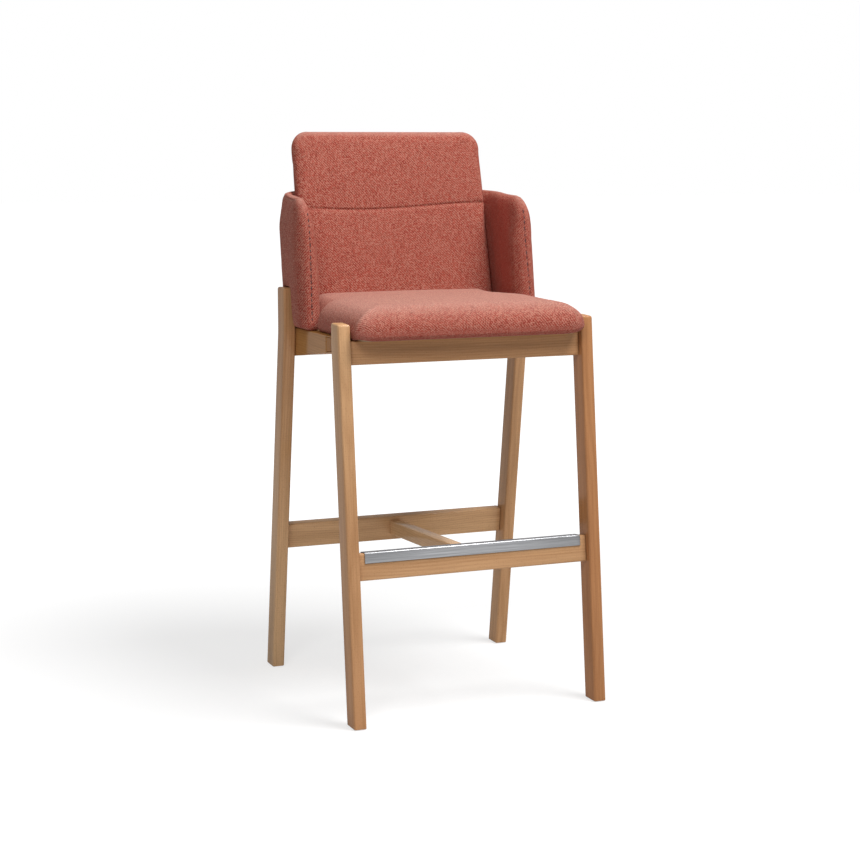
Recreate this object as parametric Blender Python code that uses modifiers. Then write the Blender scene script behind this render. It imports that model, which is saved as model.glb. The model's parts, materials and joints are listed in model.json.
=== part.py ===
"""Bar stool: a beech frame with a steel-capped footrest, an upholstered seat,
a wrap-round arm shell and a tall back pad.  Metres, +Z up, front towards -Y."""

import math

import bmesh
import bpy
from mathutils import Matrix, Vector

# Driving dimensions, in metres.

# Clearances
seat_gap = 0.0003              # between pieces that rest on or fit in each other
overrun = 0.004                # how far a cutter reaches past what it cuts
weld_distance = 0.00002        # merges the loose caps of extruded outlines

# The whole stool
half_width = 0.260             # centre plane to the rear legs' outer faces
frame_top = 0.700              # floor to the top of the seat frame

# Legs
leg_width = 0.024
leg_depth = 0.042
leg_rounding = 0.004
leg_bend_drop = 0.010          # the bend lies below the frame's top; the rear faces stand upright above it
front_leg_inset = 0.005        # the front legs stand nearer the centre plane than the rear ones
front_foot_y = -0.2612         # front face of the front foot, on the floor plane
rear_foot_y = 0.2508           # back face of the rear foot, on the floor plane
front_leg_lean = math.radians(6.06)
rear_leg_lean = math.radians(8.10)
front_leg_head = 0.032         # above the frame's top
rear_leg_head = 0.077

# Floor glides
glide_thickness = 0.0015
glide_radius = 0.010
glide_stem_radius = 0.003
glide_stem_length = 0.014
glide_edge = 0.0005

# Boards of the frame
board_thickness = 0.021
board_rounding = 0.002
stretcher_height = 0.050
tenon_length = 0.016
tenon_shoulder = 0.006
front_board_recess = 0.0125    # behind the front faces of the front legs
rear_board_recess = 0.0200     # behind the front faces of the rear legs
front_stretcher_level = 0.2906
rear_stretcher_level = 0.2743
middle_stretcher_width = 0.024
middle_stretcher_height = 0.028
dowel_radius = 0.005
dowel_length = 0.030

# Seat frame
front_apron_height = 0.0435
rear_apron_height = 0.057      # also the side rails' height at their rear ends
rail_thickness = 0.020
rail_front_height = 0.0215     # the side rails' height at their front ends
key_length = 0.100
key_thickness = 0.006
key_margin = 0.0025
key_recess = 0.0008
key_rounding = 0.002
block_side = 0.046
block_nose = 0.014
block_height = 0.022
block_drop = 0.001

# Steel footrest profile
profile_end_gap = 0.0135       # from the front legs' inner faces
profile_flange = 0.0205
profile_rear_flange = 0.0110
profile_wall = 0.0015
profile_bend = 0.0034

# Seat
seat_board_thickness = 0.012
seat_board_reach = 0.0402      # behind the rear apron
seat_board_inset = 0.016
seat_board_corner = 0.020
seat_board_neck_inset = 0.0145  # between the arms, from the pad's sides
pad_lip = 0.0075               # underside of the pad above the frame
seat_thickness = 0.0490
seat_crown = 0.0060
seat_overhang = 0.0320         # in front of the front legs, at the pad's underside
seat_side_clearance = 0.0020
seat_taper = 0.0070            # narrower at the arms than at the front
seat_waist_clearance = 0.0025  # to the arms' inner faces
seat_rear_clearance = 0.0010   # to the back pad
seat_edge_draw = 0.0080        # underside and top drawn in from the widest line
seat_corner_draw = 0.0090
seat_front_row_shares = (0, 0.10, 0.30, 0.62)   # of the depth in front of the arms
seat_rear_row_share = 0.45                      # of the depth between the arms
seat_taper_share = 0.6                          # of the taper, at the last of the front rows

# Arm shell
shell_lean_share = 0.155       # rise to run of the lean
arm_thickness = 0.040
band_thickness = 0.026
arm_setback = 0.0130           # the arms' outer faces, inside the rear legs' outer faces
shell_corner = 0.066
shell_rise = 0.186             # height above the frame at which the two next places hold
shell_corner_setback = 0.0242  # start of the rear corners, behind the rear apron
arm_reach = 0.1200             # from there to the arms' front ends
arm_height = 0.2480            # the arms' tops above the frame
arm_top_rise_share = 0.085
arm_column_shares = (0.70, 0.34, 0)
arm_corner_draw = 0.0130
arm_edge_share = 0.62          # the rounded front and top edges against the full thickness
core_thickness = 0.010
core_inset = 0.022
pocket_clearance = 0.0005
pocket_flare = 0.018           # the pocket opens this much further at its lower end

# Back pad
back_side_clearance = 0.0080   # to the arms' inner faces
back_thickness = 0.0280
back_lean_share = 0.235
back_bow = 0.0110              # the middle lies this far behind the edges
back_rise = 0.056              # height above the frame at which the next place holds
back_setback = 0.0002          # front face of the pad's edges, behind the rear apron
back_height = 0.3615
back_foot_gap = 0.0022         # above the seat board
back_seam_drop = 0.1490        # from the top
back_seam_depth = 0.0025
back_seam_half_width = 0.0060
back_crown = 0.0030
back_corner_draw = 0.0090
back_edge_draw = 0.0050
back_lower_row_shares = (0, 0.08, 0.50)         # of the height below the seam
back_upper_row_shares = (0.45, 0.75, 1)         # of the height above it
back_board_thickness = 0.010
back_board_inset = 0.024
back_board_cover = 0.0025      # cover and padding behind the board

# Screws
screw_radius = 0.0020
screw_head_radius = 0.0042
screw_head_height = 0.0024
seat_screw_length = 0.030
shell_screw_length = 0.028
profile_screw_length = 0.014
back_screw_length = 0.034
foot_screw_length = 0.026
shell_screw_rise = 0.022       # lower screws above the frame
shell_screw_spacing = 0.035
profile_screw_spacing = 0.140
back_screw_x = 0.110
back_screw_drop = 0.018        # from the arms' tops

# Roundness of turned and rounded parts
turned_steps = 12
rounding_segments = 2
bend_segments = 3
shell_corner_segments = 4

beech = (0.58, 0.37, 0.21)
beech_inner = (0.52, 0.35, 0.22)
plywood = (0.60, 0.46, 0.30)
coral = (0.52, 0.14, 0.11)
steel = (0.62, 0.62, 0.61)
zinc = (0.55, 0.55, 0.53)
nylon = (0.05, 0.05, 0.05)


# Places that follow from the driving dimensions

front_slope = math.tan(front_leg_lean)
rear_slope = math.tan(rear_leg_lean)
leg_bottom = glide_thickness
leg_bend_height = frame_top - leg_bend_drop
front_leg_top = frame_top + front_leg_head
rear_leg_top = frame_top + rear_leg_head
front_leg_outer = half_width - front_leg_inset
front_inner_x = front_leg_outer - leg_width
rear_inner_x = half_width - leg_width


def front_leg_face(z):
    """Y of the front legs' front faces at height z."""
    return front_foot_y + front_slope * z


def rear_leg_back(z):
    """Y of the rear legs' back faces at height z: leaning up to the bend, upright above it."""
    return rear_foot_y - rear_slope * min(z, leg_bend_height)


def rear_leg_face(z):
    """Y of the rear legs' front faces at height z."""
    return rear_leg_back(z) - leg_depth


def front_board_rear(z):
    """Y of the rear faces of the front stretcher and the front apron at height z."""
    return front_leg_face(z) + (front_board_recess + board_thickness) / math.cos(front_leg_lean)


rear_apron_face = rear_leg_face(leg_bend_height) + rear_board_recess
rear_apron_back = rear_apron_face + board_thickness
rail_bottom_rear = frame_top - rear_apron_height
rail_bottom_front = frame_top - rail_front_height
profile_half_length = front_inner_x - profile_end_gap


def rear_stretcher_face(z):
    """Y of the rear stretcher's front face at height z."""
    return rear_leg_face(z) + rear_board_recess / math.cos(rear_leg_lean)


def rail_outer_x(y):
    """X of a side rail's outer face: it runs from the front legs' inner faces to the rear legs'."""
    start = front_board_rear(frame_top)
    share = (y - start) / (rear_apron_face - start)
    return front_inner_x - seat_gap + (rear_inner_x - front_inner_x) * share


pad_bottom = frame_top + pad_lip
board_bottom = frame_top + seat_gap
board_top = board_bottom + seat_board_thickness
seat_half_width = front_inner_x - seat_side_clearance
seat_front_y = front_leg_face(pad_bottom) - seat_overhang
arm_centre = half_width - arm_setback - arm_thickness / 2
arm_inner = arm_centre - arm_thickness / 2
seat_neck = arm_inner - seat_waist_clearance
seat_board_neck = seat_neck - seat_board_neck_inset
seat_board_rear = rear_apron_back + seat_board_reach
shell_level = frame_top + shell_rise
shell_corner_y = rear_apron_back + shell_corner_setback
arm_front_y = shell_corner_y - arm_reach
arm_top_front = frame_top + arm_height
band_y = shell_corner_y + shell_corner
shell_bottom = frame_top + seat_gap
back_half_width = arm_inner - back_side_clearance
back_level = frame_top + back_rise
back_face_y = rear_apron_back + back_setback
back_bottom = board_top + back_foot_gap
back_top = back_bottom + back_height
back_seam_level = back_top - back_seam_drop


def shell_shift(z):
    """How far the shell's section at height z lies behind its section at shell_level."""
    return shell_lean_share * (z - shell_level)


def shell_top(y):
    """Height of the shell's upper edge at depth y: it rises towards the rear."""
    return arm_top_front + arm_top_rise_share * (y - arm_front_y)


def back_face(x, z):
    """Y of the back pad's front face before its crown."""
    across = min(abs(x) / back_half_width, 1)
    return back_face_y + back_lean_share * (z - back_level) + back_bow * (1 - across * across)


# Scene and materials

def clear_scene():
    for old in list(bpy.data.objects):
        bpy.data.objects.remove(old, do_unlink=True)


def new_collection(name):
    collection = bpy.data.collections.new(name)
    bpy.context.scene.collection.children.link(collection)
    return collection


def new_material(name, color, roughness, metallic=0.0):
    material = bpy.data.materials.new(name)
    material.use_nodes = True
    shader = material.node_tree.nodes["Principled BSDF"]
    shader.inputs["Base Color"].default_value = (*color, 1)
    shader.inputs["Roughness"].default_value = roughness
    shader.inputs["Metallic"].default_value = metallic
    material.diffuse_color = (*color, 1)
    return material


def place(obj, collection, material=None):
    """Link an object to its collection and give it its material."""
    for user in list(obj.users_collection):
        user.objects.unlink(obj)
    collection.objects.link(obj)
    if material:
        obj.data.materials.clear()
        obj.data.materials.append(material)
    return obj


def mesh_object(name, bm, collection, material=None):
    mesh = bpy.data.meshes.new(name)
    bm.to_mesh(mesh)
    bm.free()
    obj = bpy.data.objects.new(name, mesh)
    return place(obj, collection, material)


# Shapes

def arc(cx, cy, radius, start, end, segments):
    """Points of an arc from angle start to angle end, both in degrees."""
    points = []
    for i in range(segments + 1):
        angle = math.radians(start + (end - start) * i / segments)
        points.append((cx + radius * math.cos(angle), cy + radius * math.sin(angle)))
    return points


def flat_outline(name, points, thickness, collection, material=None):
    """A flat outline in the object's XY plane, given half its thickness to either side."""
    curve = bpy.data.curves.new(name, "CURVE")
    curve.dimensions = "2D"
    curve.fill_mode = "BOTH"
    curve.extrude = thickness / 2
    spline = curve.splines.new("POLY")
    spline.points.add(len(points) - 1)
    for point, (x, y) in zip(spline.points, points):
        point.co = (x, y, 0, 1)
    spline.use_cyclic_u = True
    source = bpy.data.objects.new(name + "_outline", curve)
    bpy.context.scene.collection.objects.link(source)
    bpy.context.view_layer.update()
    depsgraph = bpy.context.evaluated_depsgraph_get()
    mesh = bpy.data.meshes.new_from_object(source.evaluated_get(depsgraph))
    bpy.data.objects.remove(source, do_unlink=True)
    bm = bmesh.new()
    bm.from_mesh(mesh)
    bpy.data.meshes.remove(mesh)
    bmesh.ops.remove_doubles(bm, verts=bm.verts, dist=weld_distance)
    flat = math.radians(1)
    bmesh.ops.dissolve_limit(bm, angle_limit=flat, verts=bm.verts, edges=bm.edges)
    return mesh_object(name, bm, collection, material)


# Turns an outline drawn in XY into one in the world's YZ plane, its thickness along X.
side_view = Matrix(((0, 0, 1), (1, 0, 0), (0, 1, 0))).to_4x4()


def side_outline(name, points, thickness, x, collection, material=None):
    """A board whose outline is given as (y, z) points, centred at x."""
    obj = flat_outline(name, points, thickness, collection, material)
    obj.matrix_world = Matrix.Translation((x, 0, 0)) @ side_view
    return obj


def round_edges(obj, width, segments=rounding_segments):
    bevel = obj.modifiers.new("rounded_edges", "BEVEL")
    bevel.width = width
    bevel.segments = segments
    bevel.limit_method = "ANGLE"
    return bevel


def box(name, size, centre, collection, material=None, turn=None):
    bm = bmesh.new()
    bmesh.ops.create_cube(bm, size=1, matrix=Matrix.Diagonal((*size, 1)))
    obj = mesh_object(name, bm, collection, material)
    obj.matrix_world = Matrix.Translation(centre) @ (turn or Matrix())
    return obj


def rod(name, radius, length, start, direction, collection, material=None):
    """A cylinder from start along direction."""
    bm = bmesh.new()
    shift = Matrix.Translation((0, 0, length / 2))
    bmesh.ops.create_cone(bm, cap_ends=True, segments=turned_steps, radius1=radius, radius2=radius,
                          depth=length, matrix=shift)
    obj = mesh_object(name, bm, collection, material)
    obj.matrix_world = Matrix.Translation(start) @ Vector(direction).to_track_quat("Z", "Y").to_matrix().to_4x4()
    return obj


def turned(name, profile, start, direction, collection, material):
    """A turned piece: (radius, height) points from the top of the axis down the outside to its foot."""
    bm = bmesh.new()
    verts = [bm.verts.new((radius, 0, height)) for radius, height in profile]
    for first, second in zip(verts, verts[1:]):
        bm.edges.new((first, second))
    obj = mesh_object(name, bm, collection, material)
    screw = obj.modifiers.new("turned", "SCREW")
    screw.steps = turned_steps
    screw.render_steps = turned_steps
    screw.use_merge_vertices = True
    screw.merge_threshold = weld_distance
    obj.matrix_world = Matrix.Translation(start) @ Vector(direction).to_track_quat("Z", "Y").to_matrix().to_4x4()
    return obj


def cut(target, cutter):
    modifier = target.modifiers.new("cut_" + cutter.name, "BOOLEAN")
    modifier.operation = "DIFFERENCE"
    modifier.solver = "EXACT"
    modifier.object = cutter
    cutter.hide_render = True
    cutter.display_type = "WIRE"


def tenoned_board(name, half_length, height, centre, lean, collection, material):
    """A board along X with a shouldered tenon at each end, turned by lean about its length."""
    bm = bmesh.new()
    size = (2 * half_length, board_thickness, height)
    bmesh.ops.create_cube(bm, size=1, matrix=Matrix.Diagonal((*size, 1)))
    ends = [f for f in bm.faces if abs(f.normal.x) > math.cos(math.radians(1))]
    for end in ends:
        outward = Vector((math.copysign(tenon_length, end.normal.x), 0, 0))
        bmesh.ops.inset_region(bm, faces=[end], thickness=tenon_shoulder, use_even_offset=True)
        grown = bmesh.ops.extrude_discrete_faces(bm, faces=[end])["faces"]
        bmesh.ops.translate(bm, verts=grown[0].verts, vec=outward)
    long_edges = [e for e in bm.edges if abs(e.verts[0].co.x - e.verts[1].co.x) > half_length]
    bmesh.ops.bevel(bm, geom=long_edges, offset=board_rounding, segments=rounding_segments,
                    profile=0.5, affect="EDGES")
    obj = mesh_object(name, bm, collection, material)
    obj.matrix_world = Matrix.Translation(centre) @ Matrix.Rotation(lean, 4, "X")
    return obj


def tenon_cutter(name, half_length, height, centre, lean, collection):
    """The room that both tenons of a board take up, with a clearance all round."""
    size = (2 * (half_length + tenon_length + seat_gap),
            board_thickness - 2 * tenon_shoulder + 2 * seat_gap,
            height - 2 * tenon_shoulder + 2 * seat_gap)
    return box(name, size, centre, collection, turn=Matrix.Rotation(lean, 4, "X"))


def block_of_quads(name, cells, position, collection, material):
    """A closed box of quads, cells counted along X, Y and Z, its corners set by position(u, v, w)."""
    bm = bmesh.new()
    corner = Matrix.Translation((0.5, 0.5, 0.5))
    bmesh.ops.create_cube(bm, size=1, matrix=corner)
    for axis, count in enumerate(cells):
        across = [e for e in bm.edges if abs(e.verts[0].co[axis] - e.verts[1].co[axis]) > 0.5]
        if count > 1:
            bmesh.ops.subdivide_edges(bm, edges=across, cuts=count - 1, use_grid_fill=True)
    for vert in bm.verts:
        vert.co = position(*vert.co)
    return mesh_object(name, bm, collection, material)


def soften(obj, levels=1):
    """Subdivision that turns a coarse cage into a soft form."""
    modifier = obj.modifiers.new("soft_form", "SUBSURF")
    modifier.levels = levels
    modifier.render_levels = levels


def at_share(values, share):
    """The value at a share of the way along a list whose cells count alike."""
    place_along = share * (len(values) - 1)
    index = min(int(place_along), len(values) - 2)
    part = place_along - index
    return values[index] * (1 - part) + values[index + 1] * part


def screw(name, length, head_centre, direction, collection, cutters, material, targets):
    """A pan-head screw with its head's flat under head_centre; its shank is cut out of the targets."""
    profile = [(0, screw_head_height),
               (screw_head_radius * 0.75, screw_head_height),
               (screw_head_radius, screw_head_height * 0.5),
               (screw_head_radius, 0),
               (screw_radius, 0),
               (screw_radius, -(length - screw_radius)),
               (0, -length)]
    back = -Vector(direction)
    obj = turned(name, profile, head_centre, back, collection, material)
    hole = rod(name + "_hole", screw_radius + seat_gap, length + seat_gap + overrun,
               Vector(head_centre) + back * overrun, direction, cutters)
    for target in targets:
        cut(target, hole)
    return obj


# Pieces of the frame

def make_front_leg(side, collection, material):
    """Front leg: leans back with its front face, its rear face upright above the bend."""
    name = "front_leg_" + side
    sign = -1 if side == "left" else 1
    rear_at_bend = front_leg_face(leg_bend_height) + leg_depth
    points = [(front_leg_face(leg_bottom), leg_bottom),
              (front_leg_face(leg_bottom) + leg_depth, leg_bottom),
              (rear_at_bend, leg_bend_height),
              (rear_at_bend, front_leg_top),
              (front_leg_face(front_leg_top), front_leg_top)]
    x = sign * (front_leg_outer - leg_width / 2)
    leg = side_outline(name, points, leg_width, x, collection, material)
    round_edges(leg, leg_rounding)
    return leg


def make_rear_leg(side, collection, material):
    """Rear leg: leans forward up to the bend and stands upright above it."""
    name = "rear_leg_" + side
    sign = -1 if side == "left" else 1
    points = [(rear_leg_face(leg_bottom), leg_bottom),
              (rear_leg_back(leg_bottom), leg_bottom),
              (rear_leg_back(leg_bend_height), leg_bend_height),
              (rear_leg_back(rear_leg_top), rear_leg_top),
              (rear_leg_face(rear_leg_top), rear_leg_top),
              (rear_leg_face(leg_bend_height), leg_bend_height)]
    x = sign * (half_width - leg_width / 2)
    leg = side_outline(name, points, leg_width, x, collection, material)
    round_edges(leg, leg_rounding)
    return leg


def make_glide(name, x, y, collection, cutters, material, leg):
    """A floor glide: a low disc with a stem pressed up into the foot."""
    profile = [(0, glide_stem_length),
               (glide_stem_radius, glide_stem_length),
               (glide_stem_radius, 0),
               (glide_radius, 0),
               (glide_radius, -(glide_thickness - seat_gap - glide_edge)),
               (glide_radius - glide_edge, -(glide_thickness - seat_gap)),
               (0, -(glide_thickness - seat_gap))]
    turned(name, profile, (x, y, glide_thickness - seat_gap), (0, 0, 1), collection, material)
    hole = rod(name + "_hole", glide_stem_radius + seat_gap, glide_stem_length + overrun,
               (x, y, leg_bottom - overrun), (0, 0, 1), cutters)
    cut(leg, hole)


def make_legs(collection, cutters, material, glide_material):
    legs = {}
    for side in ("left", "right"):
        sign = -1 if side == "left" else 1
        legs["front_" + side] = make_front_leg(side, collection, material)
        legs["rear_" + side] = make_rear_leg(side, collection, material)
        make_glide("glide_front_" + side, sign * (front_leg_outer - leg_width / 2),
                   front_leg_face(leg_bottom) + leg_depth / 2, collection, cutters,
                   glide_material, legs["front_" + side])
        make_glide("glide_rear_" + side, sign * (half_width - leg_width / 2),
                   rear_leg_back(leg_bottom) - leg_depth / 2, collection, cutters,
                   glide_material, legs["rear_" + side])
    return legs


def make_cross_board(name, inner_x, height, centre, lean, pair, collection, cutters, material):
    """A board between two legs: its shoulders stop at their inner faces, its tenons go in."""
    half_length = inner_x - seat_gap
    board = tenoned_board(name, half_length, height, centre, lean, collection, material)
    room = tenon_cutter(name + "_mortises", half_length, height, centre, lean, cutters)
    for leg in pair:
        cut(leg, room)
    return board


def make_cross_boards(legs, collection, cutters, material):
    """The stretchers and aprons that run from leg to leg."""
    front_pair = (legs["front_left"], legs["front_right"])
    rear_pair = (legs["rear_left"], legs["rear_right"])
    front_offset = (front_board_recess + board_thickness / 2) / math.cos(front_leg_lean)
    rear_offset = (rear_board_recess + board_thickness / 2) / math.cos(rear_leg_lean)
    boards = {}
    level = front_stretcher_level
    centre = (0, front_leg_face(level) + front_offset, level)
    boards["front_stretcher"] = make_cross_board("front_stretcher", front_inner_x, stretcher_height, centre,
                                                 -front_leg_lean, front_pair, collection, cutters, material)
    level = rear_stretcher_level
    centre = (0, rear_leg_face(level) + rear_offset, level)
    boards["rear_stretcher"] = make_cross_board("rear_stretcher", rear_inner_x, stretcher_height, centre,
                                                rear_leg_lean, rear_pair, collection, cutters, material)
    drop = front_apron_height / 2 * math.cos(front_leg_lean) + board_thickness / 2 * math.sin(front_leg_lean)
    level = frame_top - drop
    centre = (0, front_leg_face(level) + front_offset, level)
    boards["front_apron"] = make_cross_board("front_apron", front_inner_x, front_apron_height, centre,
                                             -front_leg_lean, front_pair, collection, cutters, material)
    centre = (0, rear_apron_face + board_thickness / 2, frame_top - rear_apron_height / 2)
    boards["rear_apron"] = make_cross_board("rear_apron", rear_inner_x, rear_apron_height, centre,
                                            0, rear_pair, collection, cutters, material)
    return boards


def make_middle_stretcher(boards, collection, cutters, material):
    """The stretcher that ties the front one to the rear one, with a dowel at each end."""
    half = middle_stretcher_height / 2
    low, high = rear_stretcher_level - half, rear_stretcher_level + half
    front_low, front_high = front_stretcher_level - half, front_stretcher_level + half
    points = [(front_board_rear(front_low) + seat_gap, front_low),
              (rear_stretcher_face(low) - seat_gap, low),
              (rear_stretcher_face(high) - seat_gap, high),
              (front_board_rear(front_high) + seat_gap, front_high)]
    middle = side_outline("middle_stretcher", points, middle_stretcher_width, 0, collection, material)
    round_edges(middle, board_rounding)
    ends = (("front", front_board_rear(front_stretcher_level), front_stretcher_level),
            ("rear", rear_stretcher_face(rear_stretcher_level), rear_stretcher_level))
    for where, y, z in ends:
        name = "middle_stretcher_dowel_" + where
        start = (0, y - dowel_length / 2, z)
        rod(name, dowel_radius, dowel_length, start, (0, 1, 0), collection, material)
        room_start = (0, y - dowel_length / 2 - seat_gap, z)
        room = rod(name + "_hole", dowel_radius + seat_gap, dowel_length + 2 * seat_gap,
                   room_start, (0, 1, 0), cutters)
        cut(middle, room)
        cut(boards[where + "_stretcher"], room)


def make_footrest_profile(boards, collection, cutters, material, screw_material):
    """The steel channel over the front stretcher, with screws through its rear flange."""
    inner_half = board_thickness / 2 + seat_gap
    outer_half = inner_half + profile_wall
    wood_top = stretcher_height / 2
    under_top = wood_top + seat_gap
    top = under_top + profile_wall
    foot = top - profile_flange
    rear_foot = top - profile_rear_flange
    bend = profile_bend
    inner_bend = profile_bend - profile_wall
    points = [(-outer_half, foot)]
    points += list(reversed(arc(-outer_half + bend, top - bend, bend, 90, 180, bend_segments)))
    points += list(reversed(arc(outer_half - bend, top - bend, bend, 0, 90, bend_segments)))
    points += [(outer_half, rear_foot), (inner_half, rear_foot)]
    points += arc(inner_half - inner_bend, under_top - inner_bend, inner_bend, 0, 90, bend_segments)
    points += arc(-inner_half + inner_bend, under_top - inner_bend, inner_bend, 90, 180, bend_segments)
    points += [(-inner_half, foot)]
    level = front_stretcher_level
    offset = (front_board_recess + board_thickness / 2) / math.cos(front_leg_lean)
    frame = Matrix.Translation((0, front_leg_face(level) + offset, level)) @ Matrix.Rotation(-front_leg_lean, 4, "X")
    profile = flat_outline("footrest_profile", points, 2 * profile_half_length, collection, material)
    profile.matrix_world = frame @ side_view
    turn = frame.to_3x3()
    for index in (-1, 0, 1):
        name = "profile_screw_" + ("left", "middle", "right")[index + 1]
        inward = turn @ Vector((0, -1, 0))
        head = frame @ Vector((index * profile_screw_spacing, outer_half + seat_gap,
                               rear_foot + profile_rear_flange / 2))
        screw(name, profile_screw_length, head, inward, collection, cutters, screw_material,
              (profile, boards["front_stretcher"]))


def shear_with_depth(obj, sign):
    """Slide a side piece's points along X so that it follows the line between the legs."""
    start = front_board_rear(frame_top)
    slope = sign * (rear_inner_x - front_inner_x) / (rear_apron_face - start)
    bm = bmesh.new()
    bm.from_mesh(obj.data)
    bm.transform(obj.matrix_world)
    for vert in bm.verts:
        vert.co.x += slope * (vert.co.y - start)
    bm.to_mesh(obj.data)
    bm.free()
    obj.matrix_world = Matrix()


def rail_bottom(y):
    """Height of the side rails' lower edge at depth y."""
    start = front_board_rear(rail_bottom_front)
    share = (y - start) / (rear_apron_face - start)
    return rail_bottom_front + (rail_bottom_rear - rail_bottom_front) * share


def make_rails(collection, cutters, material):
    """The tapered side rails between the aprons, each with the let-in key at its front end."""
    rails = {}
    front_top = front_board_rear(frame_top) + seat_gap
    front_low = front_board_rear(rail_bottom_front) + seat_gap
    rear = rear_apron_face - seat_gap
    key_end = front_top + key_length
    for side in ("left", "right"):
        sign = -1 if side == "left" else 1
        points = [(front_low, rail_bottom_front), (rear, rail_bottom_rear),
                  (rear, frame_top), (front_top, frame_top)]
        x = sign * (front_inner_x - seat_gap - rail_thickness / 2)
        rail = side_outline("side_rail_" + side, points, rail_thickness, x, collection, material)
        shear_with_depth(rail, sign)
        round_edges(rail, board_rounding)
        top = frame_top - key_margin
        outline = [(front_low + key_margin, rail_bottom(front_low + key_margin) + key_margin),
                   (key_end, rail_bottom(key_end) + key_margin),
                   (key_end, top), (front_top + key_margin, top)]
        face_x = front_inner_x - seat_gap
        key_x = sign * (face_x - key_recess - key_thickness / 2)
        key = side_outline("rail_key_" + side, outline, key_thickness, key_x, collection, material)
        shear_with_depth(key, sign)
        round_edges(key, key_rounding / 2, 1)
        room_depth = key_thickness + key_recess + seat_gap + overrun
        room_x = sign * (face_x - key_recess - key_thickness - seat_gap + room_depth / 2)
        grown = [(outline[0][0] - seat_gap, outline[0][1] - seat_gap),
                 (outline[1][0] + seat_gap, outline[1][1] - seat_gap),
                 (outline[2][0] + seat_gap, outline[2][1] + seat_gap),
                 (outline[3][0] - seat_gap, outline[3][1] + seat_gap)]
        room = side_outline("rail_key_room_" + side, grown, room_depth, room_x, cutters)
        shear_with_depth(room, sign)
        cut(rail, room)
        rails[side] = rail
    return rails


def make_corner_blocks(seat_board, collection, cutters, material, screw_material):
    """Glued blocks in the frame's corners, each with a screw up into the seat board."""
    top = frame_top - block_drop
    centre_z = top - block_height / 2
    mitre = block_side - block_nose
    outline = [(0, 0), (block_side, 0), (block_side, block_nose), (block_nose, block_side), (0, block_side)]
    for side in ("left", "right"):
        sign = -1 if side == "left" else 1
        for where in ("front", "rear"):
            forward = where == "front"
            y = front_board_rear(top - block_height) + 2 * seat_gap if forward else rear_apron_face - seat_gap
            if forward:
                y = max(y, front_board_rear(top) + 2 * seat_gap)
            inward = 1 if forward else -1
            points = []
            for along, across in outline:
                depth = y + inward * along
                x = rail_outer_x(depth) - rail_thickness - seat_gap - across
                points.append((sign * x, depth))
            if sign * inward < 0:
                points.reverse()
            name = "corner_block_" + where + "_" + side
            block = flat_outline(name, points, block_height, collection, material)
            block.location = (0, 0, centre_z)
            reach = mitre / 2
            hole_y = y + inward * reach
            hole_x = sign * (rail_outer_x(hole_y) - rail_thickness - reach)
            head = (hole_x, hole_y, top - block_height - seat_gap)
            screw("seat_screw_" + where + "_" + side, seat_screw_length, head, (0, 0, 1), collection,
                  cutters, screw_material, (block, seat_board))


# Seat

def seat_board_outline(grow):
    """Plan of the seat board: wide in front of the arms, narrower between them."""
    front = seat_front_y + seat_board_inset - grow
    wide = seat_half_width - seat_board_inset + grow
    neck = seat_board_neck + grow
    rear = seat_board_rear + grow
    step = arm_front_y + shell_shift(board_bottom) - seat_board_inset
    corner = seat_board_corner
    left_front = arc(-wide + corner, front + corner, corner, 180, 270, bend_segments)
    right_front = arc(wide - corner, front + corner, corner, 270, 360, bend_segments)
    half = left_front + right_front
    return half + [(wide, step), (neck, step + (wide - neck)), (neck, rear), (-neck, rear),
                   (-neck, step + (wide - neck)), (-wide, step)]


def make_seat_board(collection, material):
    board = flat_outline("seat_board", seat_board_outline(0), seat_board_thickness, collection, material)
    board.location = (0, 0, board_bottom + seat_board_thickness / 2)
    return board


def make_seat_pad(collection, cutters, material):
    """The upholstered seat: crowned, with drawn-in sides and a step between the arms."""
    arm_start = arm_front_y + shell_shift(pad_bottom)
    rear = back_face(back_half_width, pad_bottom) - back_crown - seat_rear_clearance
    rows = [seat_front_y + share * (arm_start - seat_front_y) for share in seat_front_row_shares]
    rows += [arm_start - 2 * seat_edge_draw, arm_start + seat_edge_draw / 2,
             arm_start + seat_rear_row_share * (rear - arm_start), rear - seat_edge_draw, rear]
    front_w = seat_half_width
    arm_w = seat_half_width - seat_taper
    widths = [front_w, front_w, front_w, front_w - seat_taper * seat_taper_share, arm_w, seat_neck, seat_neck,
              seat_neck, seat_neck - seat_edge_draw / 2]
    across_shares = [-1, -0.90, -0.55, 0, 0.55, 0.90, 1]
    level_shares = [0, 0.20, 0.62, 1]
    draw_shares = [1, 0.15, 0.0, 1]

    def position(u, v, w):
        y = at_share(rows, v)
        side = at_share(across_shares, u)
        level = at_share(level_shares, w)
        draw = at_share(draw_shares, w) * seat_edge_draw
        half = at_share(widths, v)
        x = side * half
        if abs(side) == 1:
            x -= math.copysign(draw, side)
        if v == 0:
            y += draw
            if abs(side) == 1:
                y += seat_corner_draw
                x -= math.copysign(seat_corner_draw, side)
        z = pad_bottom + seat_thickness * level
        if v == 1:
            lean = back_lean_share * (z - pad_bottom)
            y += lean + back_bow * (1 - side * side)
        elif v > 0.8:
            y += back_lean_share * (z - pad_bottom)
        if w == 1:
            z += seat_crown * (1 - side * side) * (1 - (2 * v - 1) ** 2)
        return Vector((x, y, z))

    pad = block_of_quads("seat_pad", (6, 8, 3), position, collection, material)
    soften(pad)
    rebate = flat_outline("seat_board_rebate", seat_board_outline(seat_gap), 2 * seat_board_thickness, cutters)
    rebate.location = (0, 0, board_top + seat_gap - seat_board_thickness)
    cut(pad, rebate)
    return pad


# Arm shell

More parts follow.
